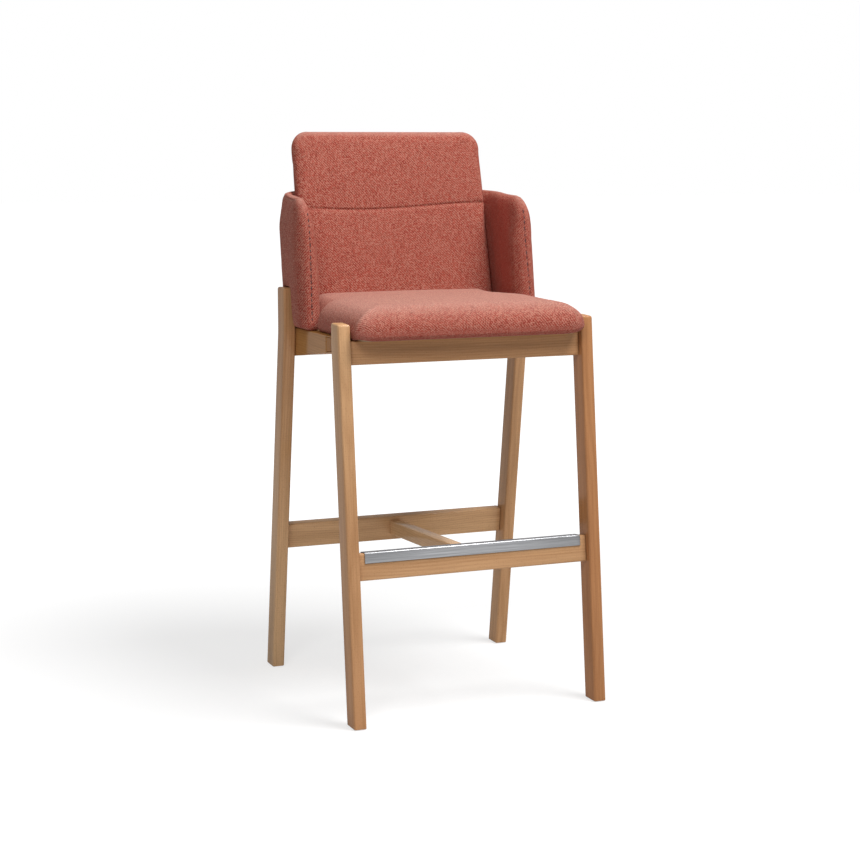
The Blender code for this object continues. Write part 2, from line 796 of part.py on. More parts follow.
def shell_path(front_y):
    """Half of the shell's centre line at shell_level, from the rear middle to the arm's end at front_y."""
    straight = arm_centre - shell_corner
    corner = arc(straight, shell_corner_y, shell_corner, 90, 0, shell_corner_segments)
    arm = shell_corner_y - front_y
    return ([(0, band_y), (straight / 2, band_y)] + corner
            + [(arm_centre, front_y + share * arm) for share in arm_column_shares])


def shell_sheet(name, height_shares, thickness, band, edge_share, bottom, top_drop, front_inset,
                collection, material=None):
    """The shell's centre surface, thickened: an open sheet along the path, mirrored and solidified.
    Its front and top edges keep only edge_share of the thickness."""
    path = shell_path(arm_front_y + front_inset)
    bm = bmesh.new()
    columns, rows = len(path), len(height_shares)
    bmesh.ops.create_grid(bm, x_segments=columns - 1, y_segments=rows - 1, size=1)
    bm.verts.index_update()
    last = columns - 1
    weights = {}
    for vert in bm.verts:
        column = round((vert.co.x + 1) / 2 * last)
        row = round((vert.co.y + 1) / 2 * (rows - 1))
        x, y = path[column]
        top = shell_top(min(y, shell_corner_y + shell_corner)) - top_drop
        z = bottom + (top - bottom) * height_shares[row]
        if column == last and row == rows - 1:
            z -= arm_corner_draw
            y += arm_corner_draw
        vert.co = (x, y + shell_shift(z), z)
        share = min(max((column - 2) / (shell_corner_segments + 1), 0), 1)
        weight = band / thickness + (1 - band / thickness) * share * share
        edge = column == last or row == rows - 1
        weights[vert.index] = weight * edge_share if edge else weight
    obj = mesh_object(name, bm, collection, material)
    group = obj.vertex_groups.new(name="thickness")
    for index, weight in weights.items():
        group.add([index], weight, "REPLACE")
    mirror = obj.modifiers.new("both_sides", "MIRROR")
    mirror.use_axis = (True, False, False)
    mirror.merge_threshold = weld_distance
    solidify = obj.modifiers.new("thickness", "SOLIDIFY")
    solidify.thickness = thickness
    solidify.offset = 0
    solidify.vertex_group = "thickness"
    solidify.use_even_offset = True
    return obj


def leg_pocket(name, sign, cutters):
    """The room for a rear leg's head in the shell's outer face, opening towards its lower end."""
    top = rear_leg_top + pocket_clearance
    bottom = shell_bottom - overrun
    front_top = rear_leg_face(rear_leg_top) - pocket_clearance
    rear = rear_leg_back(rear_leg_top) + pocket_clearance
    points = [(front_top - pocket_flare, bottom), (rear, bottom), (rear, top), (front_top, top)]
    inner = rear_inner_x - pocket_clearance
    depth = leg_width + arm_thickness
    return side_outline(name, points, depth, sign * (inner + depth / 2), cutters)


def make_shell(legs, collection, cutters, cover_material, core_material, screw_material):
    """The bent plywood core and the padded cover of the arms and the band behind the back pad."""
    core = shell_sheet("shell_core", [0, 1], core_thickness, core_thickness, 1, shell_bottom, core_inset, core_inset,
                       collection, core_material)
    pad = shell_sheet("arm_shell_pad", [0, 0.10, 0.83, 1], arm_thickness, band_thickness, arm_edge_share,
                      shell_bottom, 0, 0, collection, cover_material)
    soften(pad)
    slot_thickness = core_thickness + 2 * seat_gap
    slot = shell_sheet("shell_core_slot", [0, 1], slot_thickness, slot_thickness, 1, shell_bottom - overrun,
                       core_inset - seat_gap, core_inset - seat_gap, cutters)
    cut(pad, slot)
    y = (rear_leg_face(leg_bend_height) + rear_leg_back(leg_bend_height)) / 2
    core_face = arm_centre - core_thickness / 2
    for side in ("left", "right"):
        sign = -1 if side == "left" else 1
        cut(pad, leg_pocket("leg_pocket_" + side, sign, cutters))
        low = frame_top + shell_screw_rise
        for where, z in (("low", low), ("high", low + shell_screw_spacing)):
            head = (sign * (core_face - seat_gap), y, z)
            name = "shell_screw_" + where + "_" + side
            screw(name, shell_screw_length, head, (sign, 0, 0), collection, cutters, screw_material,
                  (core, pad, legs["rear_" + side]))
            room_start = (sign * (core_face - screw_head_height - 2 * seat_gap), y, z)
            room = rod(name + "_head_room", screw_head_radius + seat_gap, screw_head_height + overrun,
                       room_start, (sign, 0, 0), cutters)
            cut(pad, room)
    return core, pad


# Back pad

def back_surface(name, inset_sides, bottom, top, depth, thickness, collection, material=None):
    """A panel that follows the back pad's bow and lean, its middle plane depth behind the face."""
    columns, rows = 8, 4
    bm = bmesh.new()
    bmesh.ops.create_grid(bm, x_segments=columns, y_segments=rows, size=1)
    half = back_half_width - inset_sides
    for vert in bm.verts:
        x = vert.co.x * half
        z = bottom + (top - bottom) * (vert.co.y + 1) / 2
        vert.co = (x, back_face(x, z) + depth, z)
    obj = mesh_object(name, bm, collection, material)
    solidify = obj.modifiers.new("thickness", "SOLIDIFY")
    solidify.thickness = thickness
    solidify.offset = 0
    solidify.use_even_offset = True
    return obj


def make_back(core, shell_pad, seat_board, collection, cutters, cover_material, board_material, screw_material):
    """The tall back pad, its bent board, and the screws that hold it to the shell and the seat."""
    seam = back_seam_level
    levels = [back_bottom + share * (seam - back_bottom) for share in back_lower_row_shares]
    levels += [seam - back_seam_half_width, seam, seam + back_seam_half_width]
    levels += [seam + share * (back_top - seam) for share in back_upper_row_shares]
    across_shares = [-1, -0.81, -0.42, 0, 0.42, 0.81, 1]
    depth_shares = [0, 0.34, 0.66, 1]
    draw_shares = [1, 0, 0, 2]

    def position(u, v, w):
        side = at_share(across_shares, u)
        depth = at_share(depth_shares, v)
        draw = at_share(draw_shares, v) * back_edge_draw
        z = at_share(levels, w)
        x = side * back_half_width
        if abs(side) == 1:
            x -= math.copysign(draw, side)
        if w == 1:
            z -= draw
            if abs(side) == 1:
                z -= back_corner_draw
                x -= math.copysign(back_corner_draw, side)
        y = back_face(x, z) + back_thickness * depth
        if v == 0:
            if abs(side) < 1 and 0 < w < 1:
                y -= back_crown
            if z == seam:
                y += back_seam_depth
        return Vector((x, y, z))

    pad = block_of_quads("back_pad", (6, 3, 8), position, collection, cover_material)
    soften(pad)
    board_depth = back_thickness - back_board_cover - back_board_thickness / 2
    board = back_surface("back_board", back_board_inset, back_bottom, back_top - back_board_inset,
                         board_depth, back_board_thickness, collection, board_material)
    room = back_surface("back_board_room", back_board_inset - seat_gap, back_bottom - overrun,
                        back_top - back_board_inset + seat_gap, board_depth,
                        back_board_thickness + 2 * seat_gap, cutters)
    cut(pad, room)
    z = arm_top_front - back_screw_drop
    core_back = band_y + shell_shift(z) + core_thickness / 2
    toward = Vector((0, -1, shell_lean_share)).normalized()
    for side in ("left", "right"):
        sign = -1 if side == "left" else 1
        head = Vector((sign * back_screw_x, core_back, z)) - toward * 2 * seat_gap
        name = "back_screw_" + side
        screw(name, back_screw_length, head, toward, collection, cutters, screw_material,
              (core, shell_pad, pad, board))
        room_start = head - toward * (screw_head_height + seat_gap)
        head_room = rod(name + "_head_room", screw_head_radius + seat_gap, screw_head_height + overrun,
                        room_start, toward, cutters)
        cut(shell_pad, head_room)
        foot_y = back_face(back_screw_x, back_bottom) + board_depth
        foot_head = (sign * back_screw_x, foot_y, board_bottom - seat_gap)
        screw("back_foot_screw_" + side, foot_screw_length, foot_head, (0, 0, 1), collection, cutters,
              screw_material, (seat_board, board, pad))
    return pad


def make_stool():
    clear_scene()
    parts = new_collection("bar_stool")
    cutters = new_collection("cutters")
    wood = new_material("lacquered_beech", beech, 0.42)
    inner_wood = new_material("raw_beech", beech_inner, 0.65)
    ply = new_material("beech_plywood", plywood, 0.60)
    fabric = new_material("coral_fabric", coral, 0.90)
    brushed = new_material("brushed_steel", steel, 0.32, 1.0)
    fixing = new_material("zinc_plated_steel", zinc, 0.38, 1.0)
    glide = new_material("black_nylon", nylon, 0.55)

    legs = make_legs(parts, cutters, wood, glide)
    boards = make_cross_boards(legs, parts, cutters, wood)
    make_middle_stretcher(boards, parts, cutters, wood)
    make_footrest_profile(boards, parts, cutters, brushed, fixing)
    make_rails(parts, cutters, wood)
    seat_board = make_seat_board(parts, ply)
    make_corner_blocks(seat_board, parts, cutters, inner_wood, fixing)
    make_seat_pad(parts, cutters, fabric)
    core, shell_pad = make_shell(legs, parts, cutters, fabric, ply, fixing)
    make_back(core, shell_pad, seat_board, parts, cutters, fabric, ply, fixing)


make_stool()
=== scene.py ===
"""Bar stool: splayed beech legs, a steel-capped footrest, an upholstered seat,
a wrap-round arm shell and a tall back pad.  Metres, +Z up, front towards -Y."""

import json
import math

import bpy
import numpy as np
from bpy.props import FloatProperty, FloatVectorProperty, PointerProperty
from mathutils import Matrix, Vector


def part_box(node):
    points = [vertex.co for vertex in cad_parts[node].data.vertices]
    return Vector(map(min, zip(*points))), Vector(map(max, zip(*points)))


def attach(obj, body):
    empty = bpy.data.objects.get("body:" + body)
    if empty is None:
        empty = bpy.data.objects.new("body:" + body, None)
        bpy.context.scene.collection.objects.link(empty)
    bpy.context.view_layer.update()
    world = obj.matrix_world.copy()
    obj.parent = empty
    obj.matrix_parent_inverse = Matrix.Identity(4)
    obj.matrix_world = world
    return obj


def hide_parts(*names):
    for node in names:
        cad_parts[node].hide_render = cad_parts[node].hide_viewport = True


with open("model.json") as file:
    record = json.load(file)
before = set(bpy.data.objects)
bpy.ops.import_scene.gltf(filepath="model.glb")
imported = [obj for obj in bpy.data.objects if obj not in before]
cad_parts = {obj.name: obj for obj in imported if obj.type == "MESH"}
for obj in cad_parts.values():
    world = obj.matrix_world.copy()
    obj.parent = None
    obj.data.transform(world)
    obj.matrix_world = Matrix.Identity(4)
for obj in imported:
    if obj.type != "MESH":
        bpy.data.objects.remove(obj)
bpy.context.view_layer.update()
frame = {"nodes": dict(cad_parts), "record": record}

bl_info = {
    "name": "Bar stool",
    "version": (1, 0, 0),
    "blender": (4, 5, 0),
    "location": "3D View > Sidebar > Bar stool",
    "description": "Dresses the packed bar stool in beech, brushed steel and woven fabric",
    "category": "Add Mesh",
}

# Each wooden piece's figure: a seed, and its colour at the foot or left end and at the head or
# right end, from 0 for pale to 1 for warm
FIGURES = {
    "front_leg_left": (11, 0.75, 0.05), "rear_leg_left": (12, -0.40, 0.60),
    "front_leg_right": (13, 1.0, 0.95), "rear_leg_right": (14, 0.20, 0.40),
    "front_stretcher": (31, 0.28, 0.28), "rear_stretcher": (32, -0.10, -0.10),
    "front_apron": (33, 0.50, 0.50), "rear_apron": (34, 0.72, 0.72),
    "middle_stretcher": (47, -0.30, -0.30),
}

# How far the shell and the back lean back, for each metre of height
SHELL_SLOPE, BACK_SLOPE = 0.155, 0.235

# Y of the line where the seat meets the arms' front ends, and how far the change reaches
ARM_LINE, ARM_CHANGE = 0.012, 0.024

# Cloth this close to a pad's hidden edge is held while it swells
SEWN_EDGE = 0.004

# Where the back panel lies on the bolt of cloth, past the front one
BACK_PANEL = (0.37, 0.11)

# Angles of a cover's rim, in degrees, from the front surface to the back one
PLAIN_RIM = (90, 79, 68, 57, 46, 36, 26, 17, 8, 0, -9, -19, -30, -42, -54, -66, -78, -90)
SEAM_RIM = (90, 78, 66, 54, 43, 33, 24, 16, 10, 6, 3, 0,
            -3, -6, -10, -16, -24, -33, -43, -54, -66, -78, -90)
REAR_SEAM_RIM = (90, 79, 68, 57, 46, 36, 26, 17, 8, 0,
                 -10, -20, -29, -36, -41, -45, -48, -51, -55, -60, -68, -78, -90)
REAR_SEAM = -48

# The cover's cloth while air pressure swells it
CLOTH = {"quality": 6, "mass": 0.3, "tension_stiffness": 12, "compression_stiffness": 12,
         "shear_stiffness": 6, "bending_stiffness": 0.6, "use_pressure": True,
         "uniform_pressure_force": 3.0, "vertex_group_mass": "held"}
SWELLING_FRAMES = 20

# What the darkest grain keeps of the wood's colour, the thread's lighter twist, what the fabric's
# loose fibres and the steel's edge reflect
DARK_GRAIN = (0.66, 0.60, 0.54, 1.0)
THREAD_LIGHT = (0.016, 0.012, 0.015, 1.0)
FIBRE_SHEEN = (1.0, 0.58, 0.44, 1.0)
STEEL_EDGE = (0.45, 0.45, 0.47, 1.0)

# The camera's directions and place, fitted to the photographed stool
CAMERA_AHEAD = (0.3742, 0.9156, -0.1470)
CAMERA_RIGHT = (0.9257, -0.3783, 0.0)
CAMERA_PLACE = (-1.4138, -3.4565, 1.0566)
SENSOR = 36.0


# Sizes and colours that a user would change

def number(name, default, description, **kind):
    return FloatProperty(name=name, default=default, description=description,
                         **{"min": 0.0, **kind})


def length(name, default, description, **limits):
    return number(name, default, description, subtype="DISTANCE", unit="LENGTH", precision=4,
                  **limits)


def lean(name, degrees, description):
    return number(name, math.radians(degrees), description, subtype="ANGLE", unit="ROTATION")


def colour(name, default, description):
    return FloatVectorProperty(name=name, default=default, description=description, size=3,
                               min=0.0, max=1.0, subtype="COLOR")


class WoodSizes(bpy.types.PropertyGroup):
    leg_width: length("Leg width", 0.024, "Width of a leg seen from the front")
    leg_depth: length("Leg depth", 0.042, "Depth of a leg")
    leg_edge: length("Leg edge", 0.0036, "Rounding of the legs' long edges")
    head_fall: length("Leg head fall", 0.0014, "Fall of the front edge of a front leg's head")
    head_edge: length("Head edge", 0.0040, "Rounding round the top of each leg")
    foot_edge: length("Foot edge", 0.0012, "Rounding round the foot of each leg")
    front_foot_y: length("Front foot", -0.2612, "Front face of the front legs' feet", min=-1.0)
    rear_foot_y: length("Rear foot", 0.2508, "Back face of the rear legs' feet")
    front_lean: lean("Front lean", 6.06, "Lean of the front legs' front faces")
    rear_lean: lean("Rear lean", 8.10, "Lean of the rear legs below their bend")
    bend_level: length("Bend level", 0.690, "Height above which the rear faces stand upright")
    bend_softness: length("Bend softness", 0.004, "Height over which the bend is eased")
    board: length("Board thickness", 0.021, "Thickness of stretchers and aprons")
    board_edge: length("Board edge", 0.0024, "Rounding of the boards' edges")
    stretcher: length("Stretcher height", 0.050, "Height of front and rear stretcher")
    front_recess: length("Front recess", 0.0125, "Front boards lie this far behind the legs' faces")
    rear_recess: length("Rear recess", 0.0200, "Rear boards lie this far behind the legs' faces")
    front_level: length("Front level", 0.2906, "Height of the front stretcher's middle")
    rear_level: length("Rear level", 0.2743, "Height of the rear stretcher's middle")
    middle_width: length("Middle width", 0.024, "Width of the middle stretcher")
    middle_height: length("Middle height", 0.028, "Height of the middle stretcher")
    frame_top: length("Frame top", 0.700, "Upper edge of the seat frame")
    front_apron: length("Front apron", 0.0435, "Height of the front apron")
    rear_apron: length("Rear apron", 0.057, "Height of the rear apron")
    joint_gap: length("Joint gap", 0.0004, "Gap between a board's shoulder and its leg")


class SteelSizes(bpy.types.PropertyGroup):
    half_length: length("Half length", 0.2175, "Half the length of the channel")
    wall: length("Wall", 0.0015, "Thickness of the sheet steel")
    bend: length("Bend", 0.0034, "Outer radius of the channel's bends")
    front_flange: length("Front flange", 0.0205, "Height of the front flange")
    rear_flange: length("Rear flange", 0.0110, "Height of the rear flange")
    gap: length("Gap", 0.0003, "Gap between the channel and the stretcher")


class PadSizes(bpy.types.PropertyGroup):
    seat_bottom: length("Seat underside", 0.7010, "Lower edge of the seat pad")
    seat_thickness: length("Seat thickness", 0.0592, "Thickness of the seat pad at its edges")
    seat_crown: length("Seat crown", 0.0045, "Rise of the seat's middle above its edges")
    seat_half: length("Seat half width", 0.2272, "Half the seat's width in front of the arms")
    seat_bulge: length("Seat bulge", 0.0085, "The seat is this much wider in front of the legs")
    seat_lift: length("Seat corner lift", 0.0050, "Rise of the underside at the front corners")
    seat_neck: length("Seat neck", 0.2045, "Half the seat's width between the arms")
    seat_front: length("Seat front", -0.2181, "Front of the seat pad", min=-1.0)
    seat_rear: length("Seat rear", 0.1450, "Rear of the seat pad at its sides")
    arm_thickness: length("Arm thickness", 0.0398, "Thickness of the arms")
    band_thickness: length("Band thickness", 0.026, "Thickness of the shell behind the back pad")
    arm_x: length("Arm centre", 0.227, "Centre of the arms from the middle of the stool")
    shell_corner: length("Shell corner", 0.066, "Radius of the shell's rear corners, in plan")
    shell_corner_y: length("Corner start", 0.1758, "Where the rear corners start")
    arm_front: length("Arm front", 0.0558, "Arms' front ends at the shell's reference height")
    shell_level: length("Shell level", 0.886, "Reference height of the shell's plan")
    shell_bottom: length("Shell bottom", 0.7006, "Lower edge of the shell")
    arm_top: length("Arm top", 0.9475, "Height of the arms at their front ends")
    arm_rise: length("Arm rise", 0.078, "Rise of the arms' tops for each metre to the rear")
    arm_round: length("Arm round", 0.044, "Radius of the arms' upper front corners")
    back_half: length("Back half width", 0.2016, "Half the width of the back pad")
    back_bottom: length("Back bottom", 0.7146, "Lower edge of the back pad")
    back_top: length("Back top", 1.0775, "Upper edge of the back pad")
    back_thickness: length("Back thickness", 0.0280, "Thickness of the back pad at its edges")
    back_face: length("Back face", 0.1518, "Front of the back pad's edges, at its level")
    back_level: length("Back level", 0.756, "Height at which the back pad's front is placed")
    back_bow: length("Back bow", 0.0110, "The back pad's middle lies this far behind its edges")
    back_round: length("Back round", 0.037, "Radius of the back pad's upper corners")
    channel_level: length("Channel level", 0.9270, "Height of the sewn channel")
    channel_depth: length("Channel depth", 0.0023, "Depth of the sewn channel")
    seam_depth: length("Seam depth", 0.0020, "Depth of the seams' grooves")
    stitch_pitch: length("Stitch pitch", 0.0118, "Distance between the arm seams' stitches")
    yarn: length("Yarn pitch", 0.00135, "Distance between neighbouring yarns")


class Finishes(bpy.types.PropertyGroup):
    beech_pale: colour("Pale beech", (0.625, 0.375, 0.194), "Lacquered beech, palest board")
    beech_warm: colour("Warm beech", (0.450, 0.205, 0.084), "Lacquered beech, warmest board")
    beech_amber: colour("Amber beech", (0.440, 0.205, 0.062), "Lacquered beech, rails and keys")
    beech_fleck: colour("Beech fleck", (0.24, 0.095, 0.038), "Flecks of the beech")
    raw_beech: colour("Raw beech", (0.55, 0.36, 0.20), "Planed beech without lacquer")
    ply: colour("Plywood", (0.60, 0.43, 0.26), "Beech plywood")
    red: colour("Red yarn", (0.35, 0.052, 0.036), "Main yarn of the fabric")
    deep_red: colour("Deep red yarn", (0.140, 0.012, 0.009), "Second yarn of the fabric")
    sand: colour("Sand yarn", (0.52, 0.25, 0.18), "Light yarn of the fabric")
    # Painted light: the pale tone that upward faces are painted towards
    painted_top_light: colour("Painted top light", (0.78, 0.58, 0.48), "Painted light on the upward faces")
    thread: colour("Thread", (0.005, 0.004, 0.006), "Thread of the arm seams")
    steel: colour("Steel", (0.43, 0.435, 0.45), "Brushed steel of the footrest")
    zinc: colour("Zinc", (0.55, 0.55, 0.53), "Zinc plating of the screws")
    nylon: colour("Nylon", (0.045, 0.045, 0.045), "Nylon of the floor glides")


class StageSettings(bpy.types.PropertyGroup):
    key_power: number("Key light", 119.0, "Large soft light above the front right",
                      subtype="POWER", unit="POWER")
    fill_power: number("Fill light", 33.0, "Low soft light in front", subtype="POWER", unit="POWER")
    sky: number("Sky", 0.235, "Strength of the even light all round")
    floor: colour("Floor", (0.70, 0.70, 0.70), "Colour of the studio floor")
    floor_seen: number("Floor shadow", 0.36, "Share of the floor's look that shadow darkens",
                       max=1.0, subtype="FACTOR")
    floor_glow: number("Floor glow", 0.665, "Light added to the floor where the camera sees it")
    lens: number("Lens", 81.3, "Focal length", subtype="DISTANCE_CAMERA", unit="CAMERA")


# Arrays and meshes

def columns(*parts):
    """Arrays side by side along a new last axis."""
    return np.stack(parts, -1)


def quads(*corners):
    """Four arrays of corner indices as a list of faces."""
    return columns(*corners).reshape(-1, 4)


def unit(vectors):
    return vectors / np.maximum(np.linalg.norm(vectors, axis=-1, keepdims=True), 1e-9)


def read(items, key, width=1, kind=np.float32):
    """One property of all items of a mesh."""
    values = np.empty(len(items) * width, kind)
    items.foreach_get(key, values)
    return values.reshape(-1, width)


def write(items, key, values):
    items.foreach_set(key, np.asarray(values, np.float32).ravel())


def step_up(x, start, stop):
    """0 before start, 1 after stop and 3 t^2 - 2 t^3 between them."""
    t = np.clip((x - start) / (stop - start), 0, 1)
    return t * t * (3 - 2 * t)


def groove(distance, depth, width):
    """Depth of a sewn groove at a distance from its seam: depth exp(-(distance / width) ^ 2)."""
    return depth * np.exp(-(distance / width) ** 2)


def finish_piece(name, points, faces, material, sharp=None):
    """A mesh object from an (n, 3) array and index arrays of faces.  Its signed volume, a sum over
    each face's fan of corner . (corner x corner), says which way it faces."""
    mesh = bpy.data.meshes.new(name)
    volume = 0.0
    for group in faces:
        for corner in range(1, group.shape[1] - 1):
            a, b, c = (points[group[:, k]] for k in (0, corner, corner + 1))
            volume += np.einsum("ij,ij->", a, np.cross(b, c))
    if volume < 0:
        faces = [group[:, ::-1] for group in faces]
    mesh.from_pydata(points, [], [face for group in faces for face in group.tolist()])
    mesh.shade_smooth()
    if sharp:
        mesh.set_sharp_from_angle(angle=math.radians(sharp))
    piece = bpy.data.objects.new(name, mesh)
    bpy.context.scene.collection.objects.link(piece)
    mesh.materials.append(bpy.data.materials[material])
    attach(piece, "root")
    return piece


def tube_faces(rows, count):
    """Faces of a tube: quads between rows of count points, and at each end a fan about a centre.
    The two centres follow the last row."""
    j = np.arange(count)
    k = (j + 1) % count
    row = np.arange(rows - 1)[:, None] * count
    stop = (rows - 1) * count
    sides = quads(row + j, row + k, row + count + k, row + count + j)
    first = columns(np.full(count, rows * count), k, j)
    last = columns(np.full(count, rows * count + 1), stop + j, stop + k)
    return sides, first, last


# Wood and steel

def rounded_rectangles(half_a, half_b, radius, steps):
    """Closed loops of rectangles with rounded corners, one for each row of the three arrays: a
    corner's centre lies a radius inside it, and the loop makes a quarter turn about that centre."""
    turns = np.linspace(0, np.pi / 2, steps + 1)
    angles = (turns + np.arange(4)[:, None] * np.pi / 2).ravel()
    sign_a = np.repeat([1, -1, -1, 1], steps + 1)
    sign_b = np.repeat([1, 1, -1, -1], steps + 1)
    a = sign_a * (half_a - radius)[:, None] + radius[:, None] * np.cos(angles)
    b = sign_b * (half_b - radius)[:, None] + radius[:, None] * np.sin(angles)
    return a, b


def rounded_bar(size, edge, ends, stations):
    """A bar of size (along, a, b) in its own coordinates: rounded rectangles carried along its
    length.  Near an end a ring lies r (1 - cos t) from the end's plane and is drawn in by
    r (1 - sin t), which rounds the end, and inside that a smaller ring and a centre close it."""
    along, half_a, half_b = size[0], size[1] / 2, size[2] / 2
    t = np.linspace(0, np.pi / 2, 6)
    first, last = ends[0] * (1 - np.cos(t)), along - ends[1] * (1 - np.cos(t[::-1]))
    middle = np.linspace(ends[0], along - ends[1], stations + 2)[1:-1]
    place = np.concatenate([[0], first, middle, last, [along]])
    inset = np.concatenate([[ends[0] + edge / 2], ends[0] * (1 - np.sin(t)), 0 * middle,
                            ends[1] * (1 - np.sin(t[::-1])), [ends[1] + edge / 2]])
    radius = np.maximum(edge - inset, edge / 12)
    a, b = rounded_rectangles(half_a - inset, half_b - inset, radius, 6)
    local = columns(np.broadcast_to(place[:, None], a.shape), a, b).reshape(-1, 3)
    return np.concatenate([local, [[0, 0, 0], [along, 0, 0]]]), tube_faces(*a.shape)


def wooden_piece(name, local, points, faces):
    """A wooden piece.  The attribute grain keeps its local coordinates, moved to a place of their
    own in the figure, and the attribute tint its board's colour, from pale to warm."""
    piece = finish_piece(name, points, faces, "lacquered_beech", 50)
    seed, *tints = FIGURES[name]
    rng = np.random.default_rng(seed)
    offset = np.array([rng.uniform(0, 8), rng.uniform(-0.05, 0.05), rng.uniform(0.03, 0.09)])
    new = piece.data.attributes.new
    write(new("grain", "FLOAT_VECTOR", "POINT").data, "vector", local + offset)
    along = local[:, 0]
    write(new("tint", "FLOAT", "POINT").data, "value", np.interp(along, (0, along.max()), tints))
    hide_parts(name)


def front_face(wood, z):
    """Y of the front legs' front faces at height z."""
    return wood.front_foot_y + math.tan(wood.front_lean) * z


def below_bend(wood, z):
    """The lower of z and the bend's height, with the corner between them eased."""
    over = z - wood.bend_level
    return (z + wood.bend_level - np.sqrt(over ** 2 + wood.bend_softness ** 2)) / 2


def rear_back(wood, z):
    """Y of the rear legs' back faces at height z: leaning below the bend, upright above it."""
    return wood.rear_foot_y - math.tan(wood.rear_lean) * below_bend(wood, z)


def turned_about_x(local, centre, tilt):
    """Local (along X, thickness, height) coordinates, turned about X and moved to centre."""
    cosine, sine = math.cos(tilt), math.sin(tilt)
    x, a, b = local.T
    return columns(x, a * cosine - b * sine, a * sine + b * cosine) + centre


def make_legs(wood):
    """Legs: horizontal rounded rectangles stacked from foot to head.  The front legs' front faces
    lean all the way up and their rear faces stand upright above the bend; the rear legs lean
    forwards up to the bend and stand upright above it."""
    head, fall_share = 0.02, 0.3
    for node in (name for name in FIGURES if "_leg_" in name):
        low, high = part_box(node)
        height = high[2] - low[2]
        local, faces = rounded_bar((height, wood.leg_width, wood.leg_depth), wood.leg_edge,
                                   (wood.foot_edge, wood.head_edge), stations=60)
        share = local[:, 2] / wood.leg_depth + 0.5
        z = low[2] + local[:, 0]
        if node.startswith("front"):
            near_top = step_up(local[:, 0], height - head, height)
            z = z - wood.head_fall * (1 - step_up(share, 0, fall_share)) * near_top
            face = front_face(wood, z)
            back = front_face(wood, below_bend(wood, z)) + wood.leg_depth
        else:
            back = rear_back(wood, z)
            face = back - wood.leg_depth
        outer = max(abs(low[0]), abs(high[0])) - wood.leg_width / 2
        x = math.copysign(outer, low[0]) + local[:, 1]
        wooden_piece(node, local, columns(x, face + (back - face) * share, z), faces)


def make_boards(wood):
    """Stretchers and aprons: rounded bars from leg to leg, turned to the lean of their pair, and
    the middle stretcher, whose ends follow the two boards that it joins."""
    half_board = wood.board / 2
    cosine = math.cos(wood.front_lean)
    to_front = (wood.front_recess + half_board) / cosine
    to_rear = (wood.rear_recess + half_board) / math.cos(wood.rear_lean) - wood.leg_depth
    upright = wood.rear_recess + half_board - wood.leg_depth
    apron_level = (wood.frame_top - wood.front_apron / 2 * cosine
                   - half_board * math.sin(wood.front_lean))
    boards = {
        "front_stretcher": (wood.stretcher, wood.front_level,
                            front_face(wood, wood.front_level) + to_front, -wood.front_lean),
        "rear_stretcher": (wood.stretcher, wood.rear_level,
                           rear_back(wood, wood.rear_level) + to_rear, wood.rear_lean),
        "front_apron": (wood.front_apron, apron_level,
                        front_face(wood, apron_level) + to_front, -wood.front_lean),
        "rear_apron": (wood.rear_apron, wood.frame_top - wood.rear_apron / 2,
                       rear_back(wood, wood.bend_level) + upright, 0.0),
    }
    for node, (height, level, y, tilt) in boards.items():
        leg = node.split("_")[0] + "_leg_left"
        half = abs(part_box(leg)[1][0]) - wood.joint_gap
        local, faces = rounded_bar((2 * half, wood.board, height), wood.board_edge,
                                   (wood.board_edge, wood.board_edge), stations=40)
        points = turned_about_x(local - [half, 0, 0], (0, y, level), tilt)
        wooden_piece(node, local, points, faces)
    low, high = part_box("middle_stretcher")
    run = high[1] - low[1]
    local, faces = rounded_bar((run, wood.middle_width, wood.middle_height), wood.board_edge,
                               (wood.joint_gap, wood.joint_gap), stations=40)
    part = local[:, 0] / run
    z = wood.front_level + (wood.rear_level - wood.front_level) * part + local[:, 2]
    start = front_face(wood, z) + (wood.front_recess + wood.board) / cosine + wood.joint_gap
    stop = (rear_back(wood, z) - wood.leg_depth + wood.rear_recess / math.cos(wood.rear_lean)
            - wood.joint_gap)
    points = columns(local[:, 1], start + (stop - start) * part, z)
    wooden_piece("middle_stretcher", local, points, faces)


